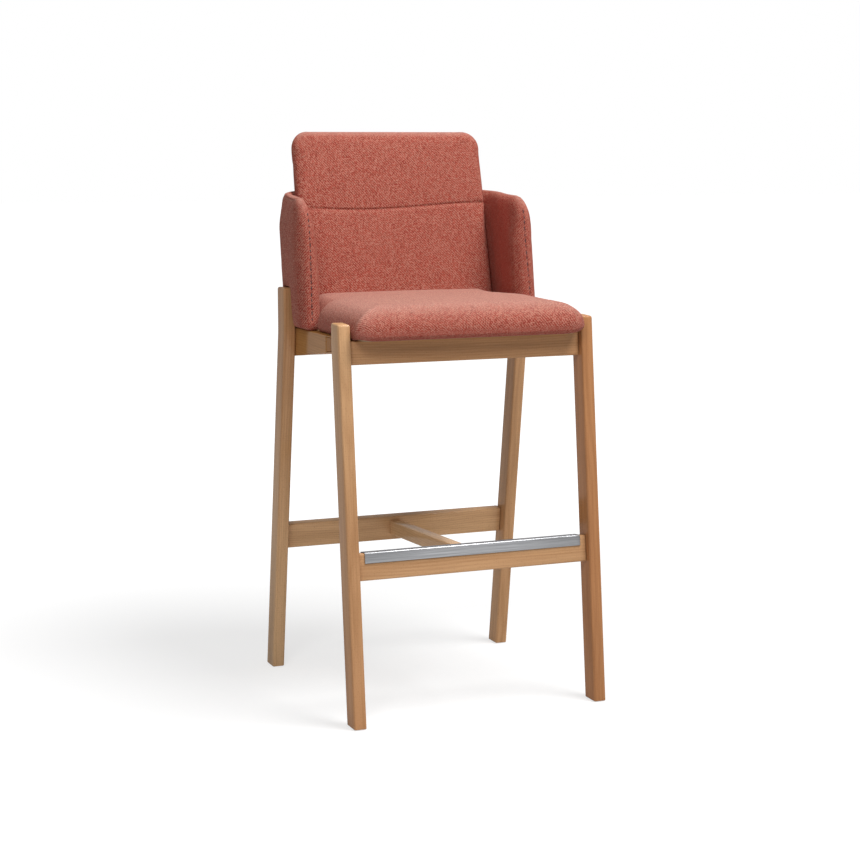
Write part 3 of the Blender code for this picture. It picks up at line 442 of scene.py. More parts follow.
def make_channel(wood, steel):
    """The footrest channel: a sheet's centre line of two flanges, two quarter bends and the top,
    set off by half the wall to both sides with half-round tips, carried along X.  The wall gets
    thinner at both ends, which eases their edges."""
    half = wood.board / 2 + steel.gap + steel.wall / 2
    top = wood.stretcher / 2 + steel.gap + steel.wall / 2
    bend = steel.bend - steel.wall / 2
    quarter = np.linspace(np.pi, np.pi / 2, 9)
    turn = np.concatenate([quarter, quarter - np.pi / 2])
    normal = columns(np.cos(turn), np.sin(turn))
    centre = columns(np.repeat([bend - half, half - bend], 9), np.full(18, top - bend))
    line = np.concatenate([[[-half, top + steel.wall - steel.front_flange]],
                           centre + bend * normal, [[half, top + steel.wall - steel.rear_flange]]])
    normal = np.concatenate([[[-1, 0]], normal, [[1, 0]]])
    tip = np.linspace(0, np.pi, 7)[1:-1]
    tip = columns(np.cos(tip), -np.sin(tip))
    n, tips = len(line), len(tip)
    path = np.concatenate([line, line[[-1] * tips], line[::-1], line[[0] * tips]])
    away = np.concatenate([normal, tip, -normal[::-1], tip])

    ease = steel.wall / 5
    inset, place = np.array([ease, ease * 0.3, 0.0]), np.array([0.0, ease * 0.3, ease])
    run = 2 * steel.half_length
    middle = np.linspace(ease, run - ease, 42)[1:-1]
    stations = np.concatenate([place, middle, run - place[::-1]])
    walls = steel.wall - 2 * np.concatenate([inset, 0 * middle, inset[::-1]])
    rings = path + away * walls[:, None, None] / 2
    rows, count = rings.shape[:2]
    x = np.broadcast_to(stations[:, None, None], (rows, count, 1))
    local = np.concatenate([x, rings], 2).reshape(-1, 3) - [steel.half_length, 0, 0]

    outer = np.arange(n)
    inner = (2 * n + tips - 1) - outer
    caps = [quads(outer[:-1], inner[:-1], inner[1:], outer[1:]),
            np.arange(n - 1, n + tips + 1)[None, ::-1],
            np.append(np.arange(2 * n + tips - 1, count), 0)[None, ::-1]]
    stop = (rows - 1) * count
    faces = [tube_faces(rows, count)[0], *caps, *(stop + cap[:, ::-1] for cap in caps)]
    recess = (wood.front_recess + wood.board / 2) / math.cos(wood.front_lean)
    centre = (0, front_face(wood, wood.front_level) + recess, wood.front_level)
    piece = finish_piece("footrest_channel", turned_about_x(local, centre, -wood.front_lean),
                         faces, "brushed_steel", 35)
    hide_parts("footrest_profile")


# Padded pieces

def rounded_outlines(rect, radii, insets, shares, steps):
    """Rings of a rectangle with rounded corners, drawn in by insets (rings, 4) at its bottom,
    right, top and left sides.  Each ring comes as four sides, each of an eighth of a turn about
    one corner's centre, a straight line with points at the shares, and an eighth of a turn about
    the next centre."""
    (u0, v0), (u1, v1) = rect
    bottom, right, top, left = insets.T
    joints = (left + bottom) / 2, (bottom + right) / 2, (right + top) / 2, (top + left) / 2
    r = [np.maximum(radius - joint, min(radii) / 4) for radius, joint in zip(radii, joints)]
    c = [columns(u0 + left + r[0], v0 + bottom + r[0]),
         columns(u1 - right - r[1], v0 + bottom + r[1]),
         columns(u1 - right - r[2], v1 - top - r[2]),
         columns(u0 + left + r[3], v1 - top - r[3])]
    eighth = np.linspace(0, np.pi / 4, steps + 1)

    def arc(corner, start):
        turn = columns(np.cos(start + eighth), np.sin(start + eighth))
        return c[corner][:, None] + r[corner][:, None, None] * turn

    sides = []
    for k, along in enumerate((shares[0], shares[1], 1 - shares[0][::-1], 1 - shares[1][::-1])):
        start = (5 + 2 * k) * np.pi / 4
        first, last = arc(k, start), arc((k + 1) % 4, start + np.pi / 4)
        inner = along[1:-1][None, :, None]
        straight = first[:, -1:] * (1 - inner) + last[:, :1] * inner
        sides.append(np.concatenate([first, straight, last], 1))
    return sides


def filled(sides):
    """Points of the area inside one ring's four sides: the sum of the two blends between opposite
    sides, less the blend of the four corners."""
    bottom, right, top, left = sides[0], sides[1], sides[2][::-1], sides[3][::-1]
    s = (bottom[:, 0] - bottom[0, 0]) / (bottom[-1, 0] - bottom[0, 0])
    t = (left[:, 1] - left[0, 1]) / (left[-1, 1] - left[0, 1])
    s, t = s[None, :, None], t[:, None, None]
    across = (1 - t) * bottom[None] + t * top[None]
    upward = (1 - s) * left[:, None] + s * right[:, None]
    corners = ((1 - s) * (1 - t) * bottom[0] + s * (1 - t) * bottom[-1]
               + (1 - s) * t * top[0] + s * t * top[-1])
    return across + upward - corners


class PadShape:
    """A padded sheet: a rounded rectangle in (u, v), a front and a back surface, and a rim of
    rings that turns from the front over the edge to the back.  A ring at angle t lies
    D (1 - cos t) inside the outline and W sin t in front of the sheet's middle, so the rim is half
    an ellipse.  D is given for front and back and for the bottom, right, top and left sides, and W
    for front and back.  Where the seam isn't in the rim's middle, ring angles are turned by an
    amount times the square of cos t."""

    def __init__(self, rect, radii, depths, halves, angles, shares, steps, seam=-90,
                 seam_turn=None):
        self.halves, self.seam = halves, math.radians(seam)
        self.angles = np.radians(np.asarray(angles, float))
        every = np.radians(np.arange(-90.0, 91.0, 2.0))
        depth = np.where(every[:, None] >= 0, *np.asarray(depths)[:, None])
        insets = depth * (1 - np.cos(every))[:, None]
        sides = rounded_outlines(rect, radii, insets, shares, steps)
        rings = np.concatenate([side[:, :-1] for side in sides], 1)
        self.turned = self.angles[:, None] + np.zeros(rings.shape[1])
        if seam_turn:
            turn = seam_turn(*rings[len(every) // 2].T)
            self.turned = self.turned + turn * np.cos(self.angles[:, None]) ** 2
        place = (self.turned - every[0]) / (every[1] - every[0])
        low = np.clip(np.floor(place), 0, len(every) - 2).astype(int)
        part = (place - low)[..., None]
        column = np.arange(rings.shape[1])
        self.rings = rings[low, column] * (1 - part) + rings[low + 1, column] * part
        self.front, self.back = (filled([side[k] for side in sides]) for k in (-1, 0))
        self.connect()
        self.unroll(depths)

    def together(self, rings):
        """(u, v) of every point: front, inner rings, back."""
        parts = self.front, rings[1:-1], self.back
        return np.concatenate([part.reshape(-1, 2) for part in parts])

    def connect(self):
        """Faces: the front grid, the rim between its border and the back grid's, the back."""
        rows, across = self.front.shape[:2]
        grid = np.arange(rows * across).reshape(rows, across)
        border = np.concatenate([grid[0, :-1], grid[:-1, -1], grid[-1, :0:-1], grid[:0:-1, 0]])
        inner, count = len(self.angles) - 2, len(border)
        rings = grid.size + np.arange(inner * count).reshape(inner, count)
        last = grid.size + inner * count
        rings = np.concatenate([border[None], rings, last + border[None]])
        front = quads(grid[:-1, :-1], grid[:-1, 1:], grid[1:, 1:], grid[1:, :-1])
        near, far = rings[:-1], rings[1:]
        rim = quads(far, np.roll(far, -1, 1), np.roll(near, -1, 1), near)
        self.faces = np.concatenate([front, rim, last + front[:, ::-1]])
        middle = (self.angles[:-1] + self.angles[1:]) / 2
        self.front_faces = np.concatenate([np.ones(len(front), bool),
                                           np.repeat(middle > self.seam, count),
                                           np.zeros(len(front), bool)])
        self.seam_ring = rings[int(np.argmin(np.abs(self.angles - self.seam)))]

    def unroll(self, depths):
        """Cloth coordinates in metres of the front's and of the back's panel: (u, v) on the faces,
        and on the rim the border's (u, v) moved outwards by the arc that the cloth travels."""
        outward = unit(self.rings[len(self.angles) // 2] - self.rings[0])
        self.cloth = []
        for end, sign in ((0, 1), (-1, -1)):
            radius = (np.mean(depths[end]) + self.halves[end]) / 2
            arc = (np.pi / 2 - sign * self.turned) * radius
            self.cloth.append(self.together(self.rings[end] + outward * arc[..., None]))

    def sheet_points(self):
        """(u, v), height in front of the sheet's middle, angle, and nominal ring angle of each
        point."""
        def values(front, rim, back):
            cells = self.front[..., 0].size
            return np.concatenate([np.full(cells, front), rim[1:-1].ravel(), np.full(cells, back)])

        u, v = self.together(self.rings).T
        front, back = self.halves
        height = np.where(self.turned >= 0, front, back) * np.sin(self.turned)
        nominal = self.angles[:, None] + 0 * self.turned
        quarter = np.pi / 2
        return (u, v, values(front, height, -back), values(quarter, self.turned, -quarter),
                values(quarter, nominal, -quarter))


def cloth_map(piece, shape, pulled=1.0, lift=0.0):
    """The weave's UV map, in metres: the front and the back panel each keep their own threads, and
    where the cloth is pulled to more than 1, its yarns lie further apart.
    An attribute, the square of the normal's rise, tells the faces that look upwards, and lift is
    added to it. It is painted light and shade: the cloth is painted paler where it is above 0 and a
    deeper red where it is below."""
    mesh = piece.data
    order = read(mesh.loops, "vertex_index", 1, np.int32)[:, 0]
    on_front = np.repeat(shape.front_faces, 4)[:, None]
    flipped = shape.cloth[1] * [-1, 1] + BACK_PANEL
    uv = np.where(on_front, shape.cloth[0][order], flipped[order])
    write(mesh.uv_layers.new(name="weave").data, "uv", uv / pulled)
    rise = read(mesh.vertex_normals, "vector", 3)[:, 2]
    painted_light_and_shade = mesh.attributes.new("painted_light_and_shade", "FLOAT", "POINT")
    write(painted_light_and_shade.data, "value", np.clip(rise, 0, 1) ** 2 + lift)


def evaluated(piece):
    return piece.evaluated_get(bpy.context.evaluated_depsgraph_get())


def puff(piece, most, held):
    """Cloth simulation: air pressure swells the cover between the held points, and no point moves
    further than most.  The movement m becomes most tanh(m / most), which caps it smoothly."""
    scene = bpy.context.scene
    rest = read(piece.data.vertices, "co", 3)
    group = piece.vertex_groups.new(name="held")
    group.add(np.flatnonzero(held).tolist(), 1.0, "REPLACE")
    cloth = piece.modifiers.new("swelling", "CLOTH")
    for key, value in CLOTH.items():
        setattr(cloth.settings, key, value)
    cloth.settings.effector_weights.gravity = 0
    cloth.collision_settings.use_collision = False
    cloth.point_cache.frame_start = 1
    cloth.point_cache.frame_end = SWELLING_FRAMES
    for step in range(SWELLING_FRAMES):
        scene.frame_set(step + 1)
    change = read(evaluated(piece).data.vertices, "co", 3) - rest
    size = np.maximum(np.linalg.norm(change, axis=1, keepdims=True), 1e-9)
    piece.modifiers.remove(cloth)
    piece.vertex_groups.remove(group)
    write(piece.data.vertices, "co", rest + change / size * most * np.tanh(size / most))
    piece.data.update()
    scene.frame_set(1)


def bake_modifiers(piece):
    """The piece's mesh with its modifiers worked in."""
    bpy.context.view_layer.update()
    mesh = bpy.data.meshes.new_from_object(evaluated(piece))
    piece.modifiers.clear()
    piece.data = mesh


def subdivide(piece):
    modifier = piece.modifiers.new("fine_surface", "SUBSURF")
    modifier.levels = modifier.render_levels = 1


def cells(count):
    """Shares at the ends of even cells."""
    return np.linspace(0, 1, count + 1)


def cover(name, points, shape):
    return finish_piece(name, points, [shape.faces], "coral_fabric")


def make_seat(pads):
    """Seat pad: the sheet is (x share, y), and its half width at y is the full one, the neck
    between the arms, and a little more in front of the legs.  The top is crowned by
    crown (1 - x^2) (1 - y^2), and the underside is lifted where the seat board lies and at the
    front corners."""
    front, rear, full = pads.seat_front, pads.seat_rear, pads.seat_half
    below_edge, underside, held_below = 0.016, -1.2, -0.5
    board_top, board_start, board_half, board_neck = 0.7127, 0.0155, 0.2135, 0.190
    bulge_end, lift_end, corner = (0.011, 0.028), (0.020, 0.050), (-0.036, 0.004)
    rear_bow, painted_corner_reach, corner_painted_light = 0.05, (-0.050, 0.004), 0.35
    shape = PadShape(((-full, front), (full, rear)), radii=(0.031, 0.031, 0.008, 0.008),
                     depths=((0.048, 0.044, 0.008, 0.044), (0.012, 0.007, 0.004, 0.007)),
                     halves=(pads.seat_thickness - below_edge, below_edge), angles=PLAIN_RIM,
                     shares=(cells(60), cells(48)), steps=6)
    u, v, height, angle, _ = shape.sheet_points()
    neck = step_up(v, ARM_LINE, ARM_LINE + ARM_CHANGE)
    proud = pads.seat_bulge * (1 - step_up(v - front, *bulge_end))
    half = (full + proud) * (1 - neck) + pads.seat_neck * neck
    x = u / full * half
    a = np.clip(x / half, -1, 1)
    b = np.clip((v - (front + rear) / 2) / ((rear - front) / 2), -1, 1)
    crown = pads.seat_crown * (1 - a ** 2) * (1 - b ** 2) * np.clip(np.sin(angle), 0, 1)
    z = pads.seat_bottom + below_edge + height + crown
    bow = BACK_SLOPE * (z - pads.seat_bottom) + pads.back_bow * (1 - a ** 2) * 0.92
    y = v + step_up(v, rear - rear_bow, rear) * bow
    board = np.abs(x) < np.where(v < ARM_LINE, board_half, board_neck)
    board &= (v > front + board_start) & (angle < underside)
    z = np.where(board, np.maximum(z, board_top), z)
    lifted = step_up(np.abs(x) - full, *corner) * (1 - step_up(v - front, *lift_end))
    z = z + pads.seat_lift * lifted * np.clip(0.5 - 0.8 * np.sin(angle), 0, 1)
    piece = cover("seat_cushion", columns(x, y, z), shape)
    # Painted light: the seat's sides in front of the arms are painted paler, as if lit from the
    # side
    cloth_map(piece, shape, lift=corner_painted_light * step_up(np.abs(x) - full, *painted_corner_reach))
    puff(piece, most=0.0020, held=(angle < held_below) | (v > rear - SEWN_EDGE))
    subdivide(piece)
    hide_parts("seat_pad")


def shell_surface(pads, s, v, height, top):
    """The shell's points.  In plan its middle surface is a straight band, a quarter circle and a
    straight arm at run s from the rear middle, and a point lies its height outside it.  v is a
    share of the shell's height, which rises towards the rear, and the section at each height is
    shifted back by the slope times its height above the shell's level."""
    run, side = np.abs(s), np.where(s < 0, -1.0, 1.0)
    straight = pads.arm_x - pads.shell_corner
    turn = np.clip((run - straight) / pads.shell_corner, 0, np.pi / 2)
    arm = np.maximum(run - straight - pads.shell_corner * np.pi / 2, 0)
    x = side * (np.minimum(run, straight) + (pads.shell_corner + height) * np.sin(turn))
    y = pads.shell_corner_y + pads.shell_corner * np.cos(turn) - arm
    rise = pads.arm_top + pads.arm_rise * (y - pads.arm_front) - pads.shell_bottom
    z = pads.shell_bottom + v / top * rise
    return columns(x, y + np.cos(turn) * height + SHELL_SLOPE * (z - pads.shell_level), z)


def make_shell(pads):
    """Arm shell: a sheet whose u runs along the U-shaped plan and whose v is the height.  Its
    outer side is the front surface here.  The seam lies on the outer shoulder along the top and
    comes to the middle of the edge along the arms' front ends.  Returns the seam's points."""
    straight = pads.arm_x - pads.shell_corner
    quarter = pads.shell_corner * np.pi / 2
    reach = straight + quarter + pads.shell_corner_y - pads.arm_front
    top = pads.arm_top - pads.shell_bottom
    half = pads.arm_thickness / 2
    thickening, corner_start, corner_end = 0.14, (0, 0.05), (0.13, 0.21)
    shoulder_depth, corner_depth, shoulder_reach = 0.0045, 0.0050, (-0.070, -0.003)
    collar_depth, collar_reach, calm_stitches = 0.0080, (-0.085, -0.005), (-0.030, -0.010)
    seam_width, seam_start, held_foot = 0.0015, (0.012, 0.030), 0.006
    closer_yarns, outer_painted_light, inner_painted_shade, arm_end = 0.96, 1.2, 0.8, (-0.055, -0.015)

    def seam_turn(u, v):
        """50 degrees along the top, fading to a slight slant down the arms' front ends, which is
        0 at 0.42 of the height."""
        crest = step_up(v - (np.abs(u) - reach) - top, -0.005, 0.070)
        return np.radians(50 * crest + 26 * (0.42 - v / top) * (1 - crest))

    depths, radius = (0.008, half, half, half), pads.arm_round
    shape = PadShape(((-reach, 0.0), (reach, top)), radii=(0.010, 0.010, radius, radius),
                     depths=(depths, depths), halves=(half, half), angles=SEAM_RIM,
                     shares=(cells(120), cells(28)), steps=9, seam=0, seam_turn=seam_turn)
    u, v, height, angle, ring = shape.sheet_points()
    run, below_top = np.abs(u) - straight, v - top
    ratio = np.clip(run / thickening, 0, 1) ** 2
    thickness = pads.band_thickness + (pads.arm_thickness - pads.band_thickness) * ratio
    corner = step_up(run, *corner_start) - step_up(run, *corner_end)
    outside = (1 + np.sin(angle)) / 2
    shoulder = outside * (shoulder_depth + corner_depth * corner)
    shoulder = shoulder * step_up(below_top, *shoulder_reach)
    collar = (1 - outside) * collar_depth * (1 - corner) * step_up(below_top, *collar_reach)
    height = height * thickness / pads.arm_thickness - shoulder + collar
    pucker = 1 + 0.30 * np.cos(2 * np.pi * v / pads.stitch_pitch)
    pucker = pucker * (1 - 0.45 * step_up(below_top, *calm_stitches))
    sewn = groove(ring * half, pads.seam_depth * pucker, seam_width) * step_up(v, *seam_start)
    points = shell_surface(pads, u, v, height, top)
    core = shell_surface(pads, np.clip(u, half - reach, reach - half),
                         np.clip(v, 0.0, top - half), height * 0, top)
    piece = cover("arm_shell", points + unit(core - points) * sewn[:, None], shape)
    arm = np.clip(run / quarter, 0, 1) * (1 - step_up(np.abs(u) - reach, *arm_end))
    # Painted light and shade: the arms' outer sides are painted paler and their inner sides a
    # deeper red; this is left out at the back and fades out near the arms' front ends
    cloth_map(piece, shape, closer_yarns, arm * (outer_painted_light * outside - inner_painted_shade))
    held = v < held_foot
    held[shape.seam_ring] = True
    puff(piece, most=0.0018, held=held)
    seam = read(piece.data.vertices, "co", 3)[shape.seam_ring]
    subdivide(piece)
    bake_modifiers(piece)
    for sign in (-1, 1):
        cut_pocket(piece, sign)
    piece.data.set_sharp_from_angle(angle=math.radians(50))
    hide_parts("arm_shell_pad")
    return seam


def cut_pocket(piece, sign):
    """Room for a rear leg's head in the shell's outer side: a block with a rounded upper front
    corner, wider towards its lower end, is taken away.  Its faces carry cloth coordinates."""
    inner, outer, floor = 0.2355, 0.2855, 0.69
    rear, face, widening, radius = 0.1531, 0.1030, 0.012, 0.013
    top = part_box("rear_leg_left")[1][2] + 0.0030
    turn = np.linspace(np.pi / 2, np.pi, 7)
    arc = columns(np.cos(turn), np.sin(turn)) * radius + [face + radius, top - radius]
    section = np.concatenate([[[face - widening, floor], [rear, floor], [rear, top]], arc])
    count = len(section)
    x = sign * np.repeat([inner, outer], count)
    points = np.column_stack([x, np.tile(section, (2, 1))])
    k = np.arange(count)
    n = (k + 1) % count
    faces = [k[::-1].tolist(), (count + k).tolist(),
             *columns(n, count + n, count + k, k).tolist()]
    faces = [face[::sign] for face in faces]
    mesh = bpy.data.meshes.new("pocket")
    mesh.from_pydata(points, [], faces)
    order = np.concatenate(faces)
    walls = np.arange(len(order)) >= 2 * count
    across = points[order, 1] + walls * np.abs(points[order, 0])
    write(mesh.uv_layers.new(name="weave").data, "uv", columns(across, points[order, 2]))
    cutter = bpy.data.objects.new("pocket", mesh)
    bpy.context.scene.collection.objects.link(cutter)
    modifier = piece.modifiers.new("pocket", "BOOLEAN")
    modifier.operation = "DIFFERENCE"
    modifier.solver = "EXACT"
    modifier.object = cutter
    bake_modifiers(piece)
    bpy.data.objects.remove(cutter, do_unlink=True)


def spots_along(path, pitch, first):
    """Evenly spaced places along a path and the directions there."""
    step = 0.001
    run = np.concatenate([[0], np.cumsum(np.linalg.norm(np.diff(path, axis=0), axis=1))])
    spots = np.arange(first, run[-1] - first, pitch)
    centre, ahead = (columns(*(np.interp(spots + shift, run, line) for line in path.T))
                     for shift in (0, step))
    return centre, ahead - centre


def make_stitches(pads, seam):
    """Stitches of the arms' front seams, one pitch apart in the seams, each a little out of its
    place and of its own length: low capsules, rings swept from pole to pole along their axis."""
    rings, around, radius, proud = 6, 6, 0.0010, 0.0006
    parts = []
    for sign in (-1, 1):
        on_arm = (np.sign(seam[:, 0]) == sign) & (seam[:, 1] < 0.075) & (seam[:, 2] > 0.712)
        path = seam[on_arm]
        parts.append(spots_along(path[np.argsort(path[:, 2])], pads.stitch_pitch, 0.006))
    centre, axis = (np.concatenate(group) for group in zip(*parts))
    axis, n = unit(axis), len(centre)
    outward = np.tile([0.0, -1.0, 0.15], (n, 1))
    rng = np.random.default_rng(3)
    centre = centre + axis * rng.uniform(-0.0012, 0.0012, (n, 1)) + outward * proud
    half = rng.uniform(0.0024, 0.0050, (n, 1, 1, 1))
    across = unit(np.cross(axis, outward))
    third = np.cross(across, axis)
    centre, axis, across, third = (a[:, None, None] for a in (centre, axis, across, third))
    t = np.linspace(0, np.pi, rings)[:, None, None]
    a = np.linspace(0, 2 * np.pi, around, endpoint=False)[:, None]
    wide = radius * np.sin(t)
    ring = (centre + axis * half * np.cos(t) + across * wide * np.cos(a)
            + third * wide * np.sin(a))
    points = np.concatenate([ring[:, 1:-1].reshape(n, -1, 3), ring[:, [0, -1], 0]], 1)
    shift = (np.arange(n) * points.shape[1])[:, None, None]
    faces = [(group + shift).reshape(-1, group.shape[1])
             for group in tube_faces(rings - 2, around)]
    finish_piece("arm_seam_stitches", points.reshape(-1, 3), faces, "sewing_thread")


def make_back(pads):
    """Back pad: the sheet is (x, z).  Its face leans back by the slope times its height and is
    bowed by bow (1 - x^2); a slightly wavering sewn channel crosses it, and the back cover is sewn
    on behind the edge.  Rows of points lie closer together beside the channel."""
    bottom, top, seam = pads.back_bottom, pads.back_top, pads.channel_level
    half, radius, foot_radius = pads.back_thickness / 2, pads.back_round, 0.012
    crown_height, channel_width, seam_width, facing, held_rear = 0.0025, 0.0026, 0.0011, 1.2, -1.2
    wave_depth, wave_start, wave_length, wave_reach = 0.006, 0.19, 0.52, 0.045
    straight = top - bottom - radius
    fine = np.array([0.0012, 0.0028, 0.005, 0.008, 0.012, 0.018, 0.026])
    levels = seam - bottom + np.concatenate([-fine[::-1], [0], fine])
    rows = np.concatenate([np.linspace(foot_radius, levels[0], 26)[:-1], levels,
                           np.linspace(levels[-1], straight, 18)[1:]])
    shape = PadShape(((-pads.back_half, bottom), (pads.back_half, top)),
                     radii=(foot_radius, foot_radius, radius, radius),
                     depths=((0.010, 0.013, 0.013, 0.013), (0.010, 0.012, 0.012, 0.012)),
                     halves=(half, half), angles=REAR_SEAM_RIM,
                     shares=(cells(56), (rows - foot_radius) / (straight - foot_radius)),
                     steps=6, seam=REAR_SEAM)
    u, v, height, angle, _ = shape.sheet_points()
    across = np.clip(np.abs(u) / pads.back_half, 0, 1)
    along = np.clip(np.where(v < seam, (v - bottom) / (seam - bottom), (v - seam) / (top - seam)),
                    0, 1)
    crown = crown_height * (1 - across ** 4) * (4 * along * (1 - along)) ** 0.5
    rng = np.random.default_rng(5)
    pucker = np.interp(u, np.linspace(-0.2, 0.2, 61), rng.uniform(0.7, 1.3, 61))
    channel = groove(v - seam, pads.channel_depth * pucker, channel_width)
    sewn_on = groove((angle - math.radians(REAR_SEAM)) * half, pads.seam_depth, seam_width)
    y = (pads.back_face + half + BACK_SLOPE * (v - pads.back_level)
         + pads.back_bow * (1 - across ** 2) - height
         - np.clip(np.sin(angle), 0, 1) * (crown - channel) - np.where(angle < 0, sewn_on, 0))
    wave = np.sin(2 * np.pi * (u + wave_start) / wave_length)
    z = v - wave * groove(v - seam, wave_depth, wave_reach)
    piece = cover("back_cushion", columns(u, y, z), shape)
    cloth_map(piece, shape)
    sewn = (np.abs(v - seam) < 0.0004) & (angle > facing)
    held = sewn | (angle < held_rear) | (v < bottom + SEWN_EDGE)
    held[shape.seam_ring] = True
    puff(piece, most=0.0022, held=held)
    subdivide(piece)
    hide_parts("back_pad")


# Materials

def arithmetic(operation, swapped=False):
    """What a sign does: it puts a maths node for its two values."""
    def put(value, other):
        pair = (other, value) if swapped else (value, other)
        return value.nodes.math(operation, *pair)
    return put


class Value:
    """An output of a node, which reckons with + - * and /."""
    __add__, __sub__, __mul__, __truediv__ = map(
        arithmetic, ("ADD", "SUBTRACT", "MULTIPLY", "DIVIDE"))
    __rsub__ = arithmetic("SUBTRACT", True)

    def __init__(self, nodes, socket):
        self.nodes, self.socket = nodes, socket

    def other(self, key):
        """Another output of the same node."""
        return Value(self.nodes, self.socket.node.outputs[key])


class Nodes:
    """Short calls for building the nodes of a new material or world."""

    def __init__(self, name, kind="materials"):
        self.owner = getattr(bpy.data, kind).new(name)
        self.owner.use_nodes = True
        self.tree = self.owner.node_tree

    def put(self, kind, inputs=None, output=0, **settings):
        node = self.tree.nodes.new(kind)
        for key, value in settings.items():
            setattr(node, key, value)
        self.fill(node, inputs or {})
        return Value(self, node.outputs[output])

    def fill(self, node, inputs):
        for key, value in inputs.items():
            if isinstance(value, Value):
                self.tree.links.new(value.socket, node.inputs[key])
            else:
                node.inputs[key].default_value = value

    def math(self, operation, a, b=0.0):
        return self.put("ShaderNodeMath", {0: a, 1: b}, operation=operation)

    def floor(self, value):
        return self.math("FLOOR", value)

    def wave(self, value):
        """Distance from the middle between two whole numbers: |fract(x) - 0.5|."""
        return self.math("ABSOLUTE", self.math("FRACT", value) - 0.5)

    def combine(self, x, y, z):
        return self.put("ShaderNodeCombineXYZ", {0: x, 1: y, 2: z})

    def separate(self, value):
        x = self.put("ShaderNodeSeparateXYZ", {0: value})
        return x, x.other(1), x.other(2)

    def stretch(self, place, along, across):
        x, y, z = place
        return self.combine(x * along, y * across, z * across)

    def length(self, vector):
        return self.put("ShaderNodeVectorMath", {0: vector}, "Value", operation="LENGTH")

    def where(self):
        """The object's own coordinates."""
        return self.put("ShaderNodeTexCoord", output="Object")

    def attribute(self, name, output="Fac"):
        return self.put("ShaderNodeAttribute", output=output, attribute_name=name)

    def noise(self, vector, scale, detail=2.0, roughness=0.5):
        return self.put("ShaderNodeTexNoise", {"Vector": vector, "Scale": scale, "Detail": detail,
                                               "Roughness": roughness})

    def streaks(self, place, along, across, detail=2.0, roughness=0.5):
        """Noise of so many waves per metre along x and across it."""
        return self.noise(self.stretch(place, along, across), 1.0, detail, roughness)

    def white(self, x, y, z):
        return self.put("ShaderNodeTexWhiteNoise", {"Vector": self.combine(x, y, z)})

    def mix(self, factor, a, b, **settings):
        return self.put("ShaderNodeMix", {0: factor, 6: a, 7: b}, 2, data_type="RGBA", **settings)

    def tone(self, a, b):
        return self.mix(1.0, a, b, blend_type="MULTIPLY")

    def ramp(self, value, low, high, to_low=0.0, to_high=1.0):
        return self.put("ShaderNodeMapRange", {0: value, 1: low, 2: high, 3: to_low, 4: to_high},
                        interpolation_type="SMOOTHSTEP")

    def surface(self, inputs, height, strength, distance):
        """Fills in the shader, with a bump of the height, and gives the material."""
        bump = self.put("ShaderNodeBump", {"Height": height, "Strength": strength,
                                           "Distance": distance})
        self.fill(self.tree.nodes["Principled BSDF"], {**inputs, "Normal": bump})
        return self.owner

    def seen_directly(self):
        """1 for rays of the camera, of mirrors and of clear things, and 0 for light that falls on
        things."""
        camera = self.put("ShaderNodeLightPath", output="Is Camera Ray")
        mirror, clear = camera.other("Is Glossy Ray"), camera.other("Is Transmission Ray")
        return self.math("MAXIMUM", self.math("MAXIMUM", camera, mirror), clear)


def opaque(value, share=1.0):
    return (*(share * part for part in value), 1.0)


def wood_material(name, pale, warm, fleck_colour, along=None, tint=None, lacquered=True):
    """Beech: broad growth rings stretched along the grain, fine streaks, and the short dark
    flecks of its rays.  The grain runs along x of the attribute grain, or along the named axis of
    the object's own coordinates."""
    nodes = Nodes(name)
    if along:
        parts = nodes.separate(nodes.where())
        place = [parts[k] for k in {"x": (0, 1, 2), "y": (1, 0, 2), "z": (2, 0, 1)}[along]]
        base = opaque([a + (b - a) * tint for a, b in zip(pale, warm)])
    else:
        place = nodes.separate(nodes.attribute("grain", "Vector"))
        base = nodes.mix(nodes.attribute("tint"), opaque(pale), opaque(warm), clamp_factor=False)
    rings_per_metre, ring_wander = 210.0, 7.0
    wander = nodes.streaks(place, 2.2, 9.0, detail=1.0)
    from_pith = nodes.length(nodes.combine(0.0, *place[1:]))
    rings = nodes.wave(from_pith * rings_per_metre + wander * ring_wander)
    rings = nodes.ramp(rings, 0.10, 0.50)
    streak = nodes.streaks(place, 9.0, 330.0, detail=3.0, roughness=0.6)
    broad = nodes.streaks(place, 2.4, 34.0)
    spots = nodes.put("ShaderNodeTexVoronoi",
                      {"Vector": nodes.stretch(place, 210.0, 1250.0), "Scale": 1.0}, "Distance")
    chosen = nodes.ramp(nodes.separate(spots.other("Color"))[0], 0.35, 0.75)
    flecks = nodes.ramp(spots, 0.12, 0.42, 1.0, 0.0) * chosen
    dark = (rings * 0.24 + nodes.ramp(streak, 0.25, 0.75, 0.0, 0.42)
            + nodes.ramp(broad, 0.28, 0.72, -0.25, 0.42))
    wood = nodes.mix(dark, base, nodes.tone(base, DARK_GRAIN))
    smoothest, roughest = (0.38, 0.50) if lacquered else (0.58, 0.72)
    return nodes.surface({
        "Base Color": nodes.mix(flecks * 0.50, wood, opaque(fleck_colour)),
        "Roughness": nodes.ramp(streak, 0.2, 0.8, smoothest, roughest),
        "Specular IOR Level": 0.0,
        "Coat Weight": 0.30 * lacquered,
        "Coat Roughness": 0.13,
    }, height=streak * 0.6 - flecks * 0.4, strength=0.35, distance=0.00025)


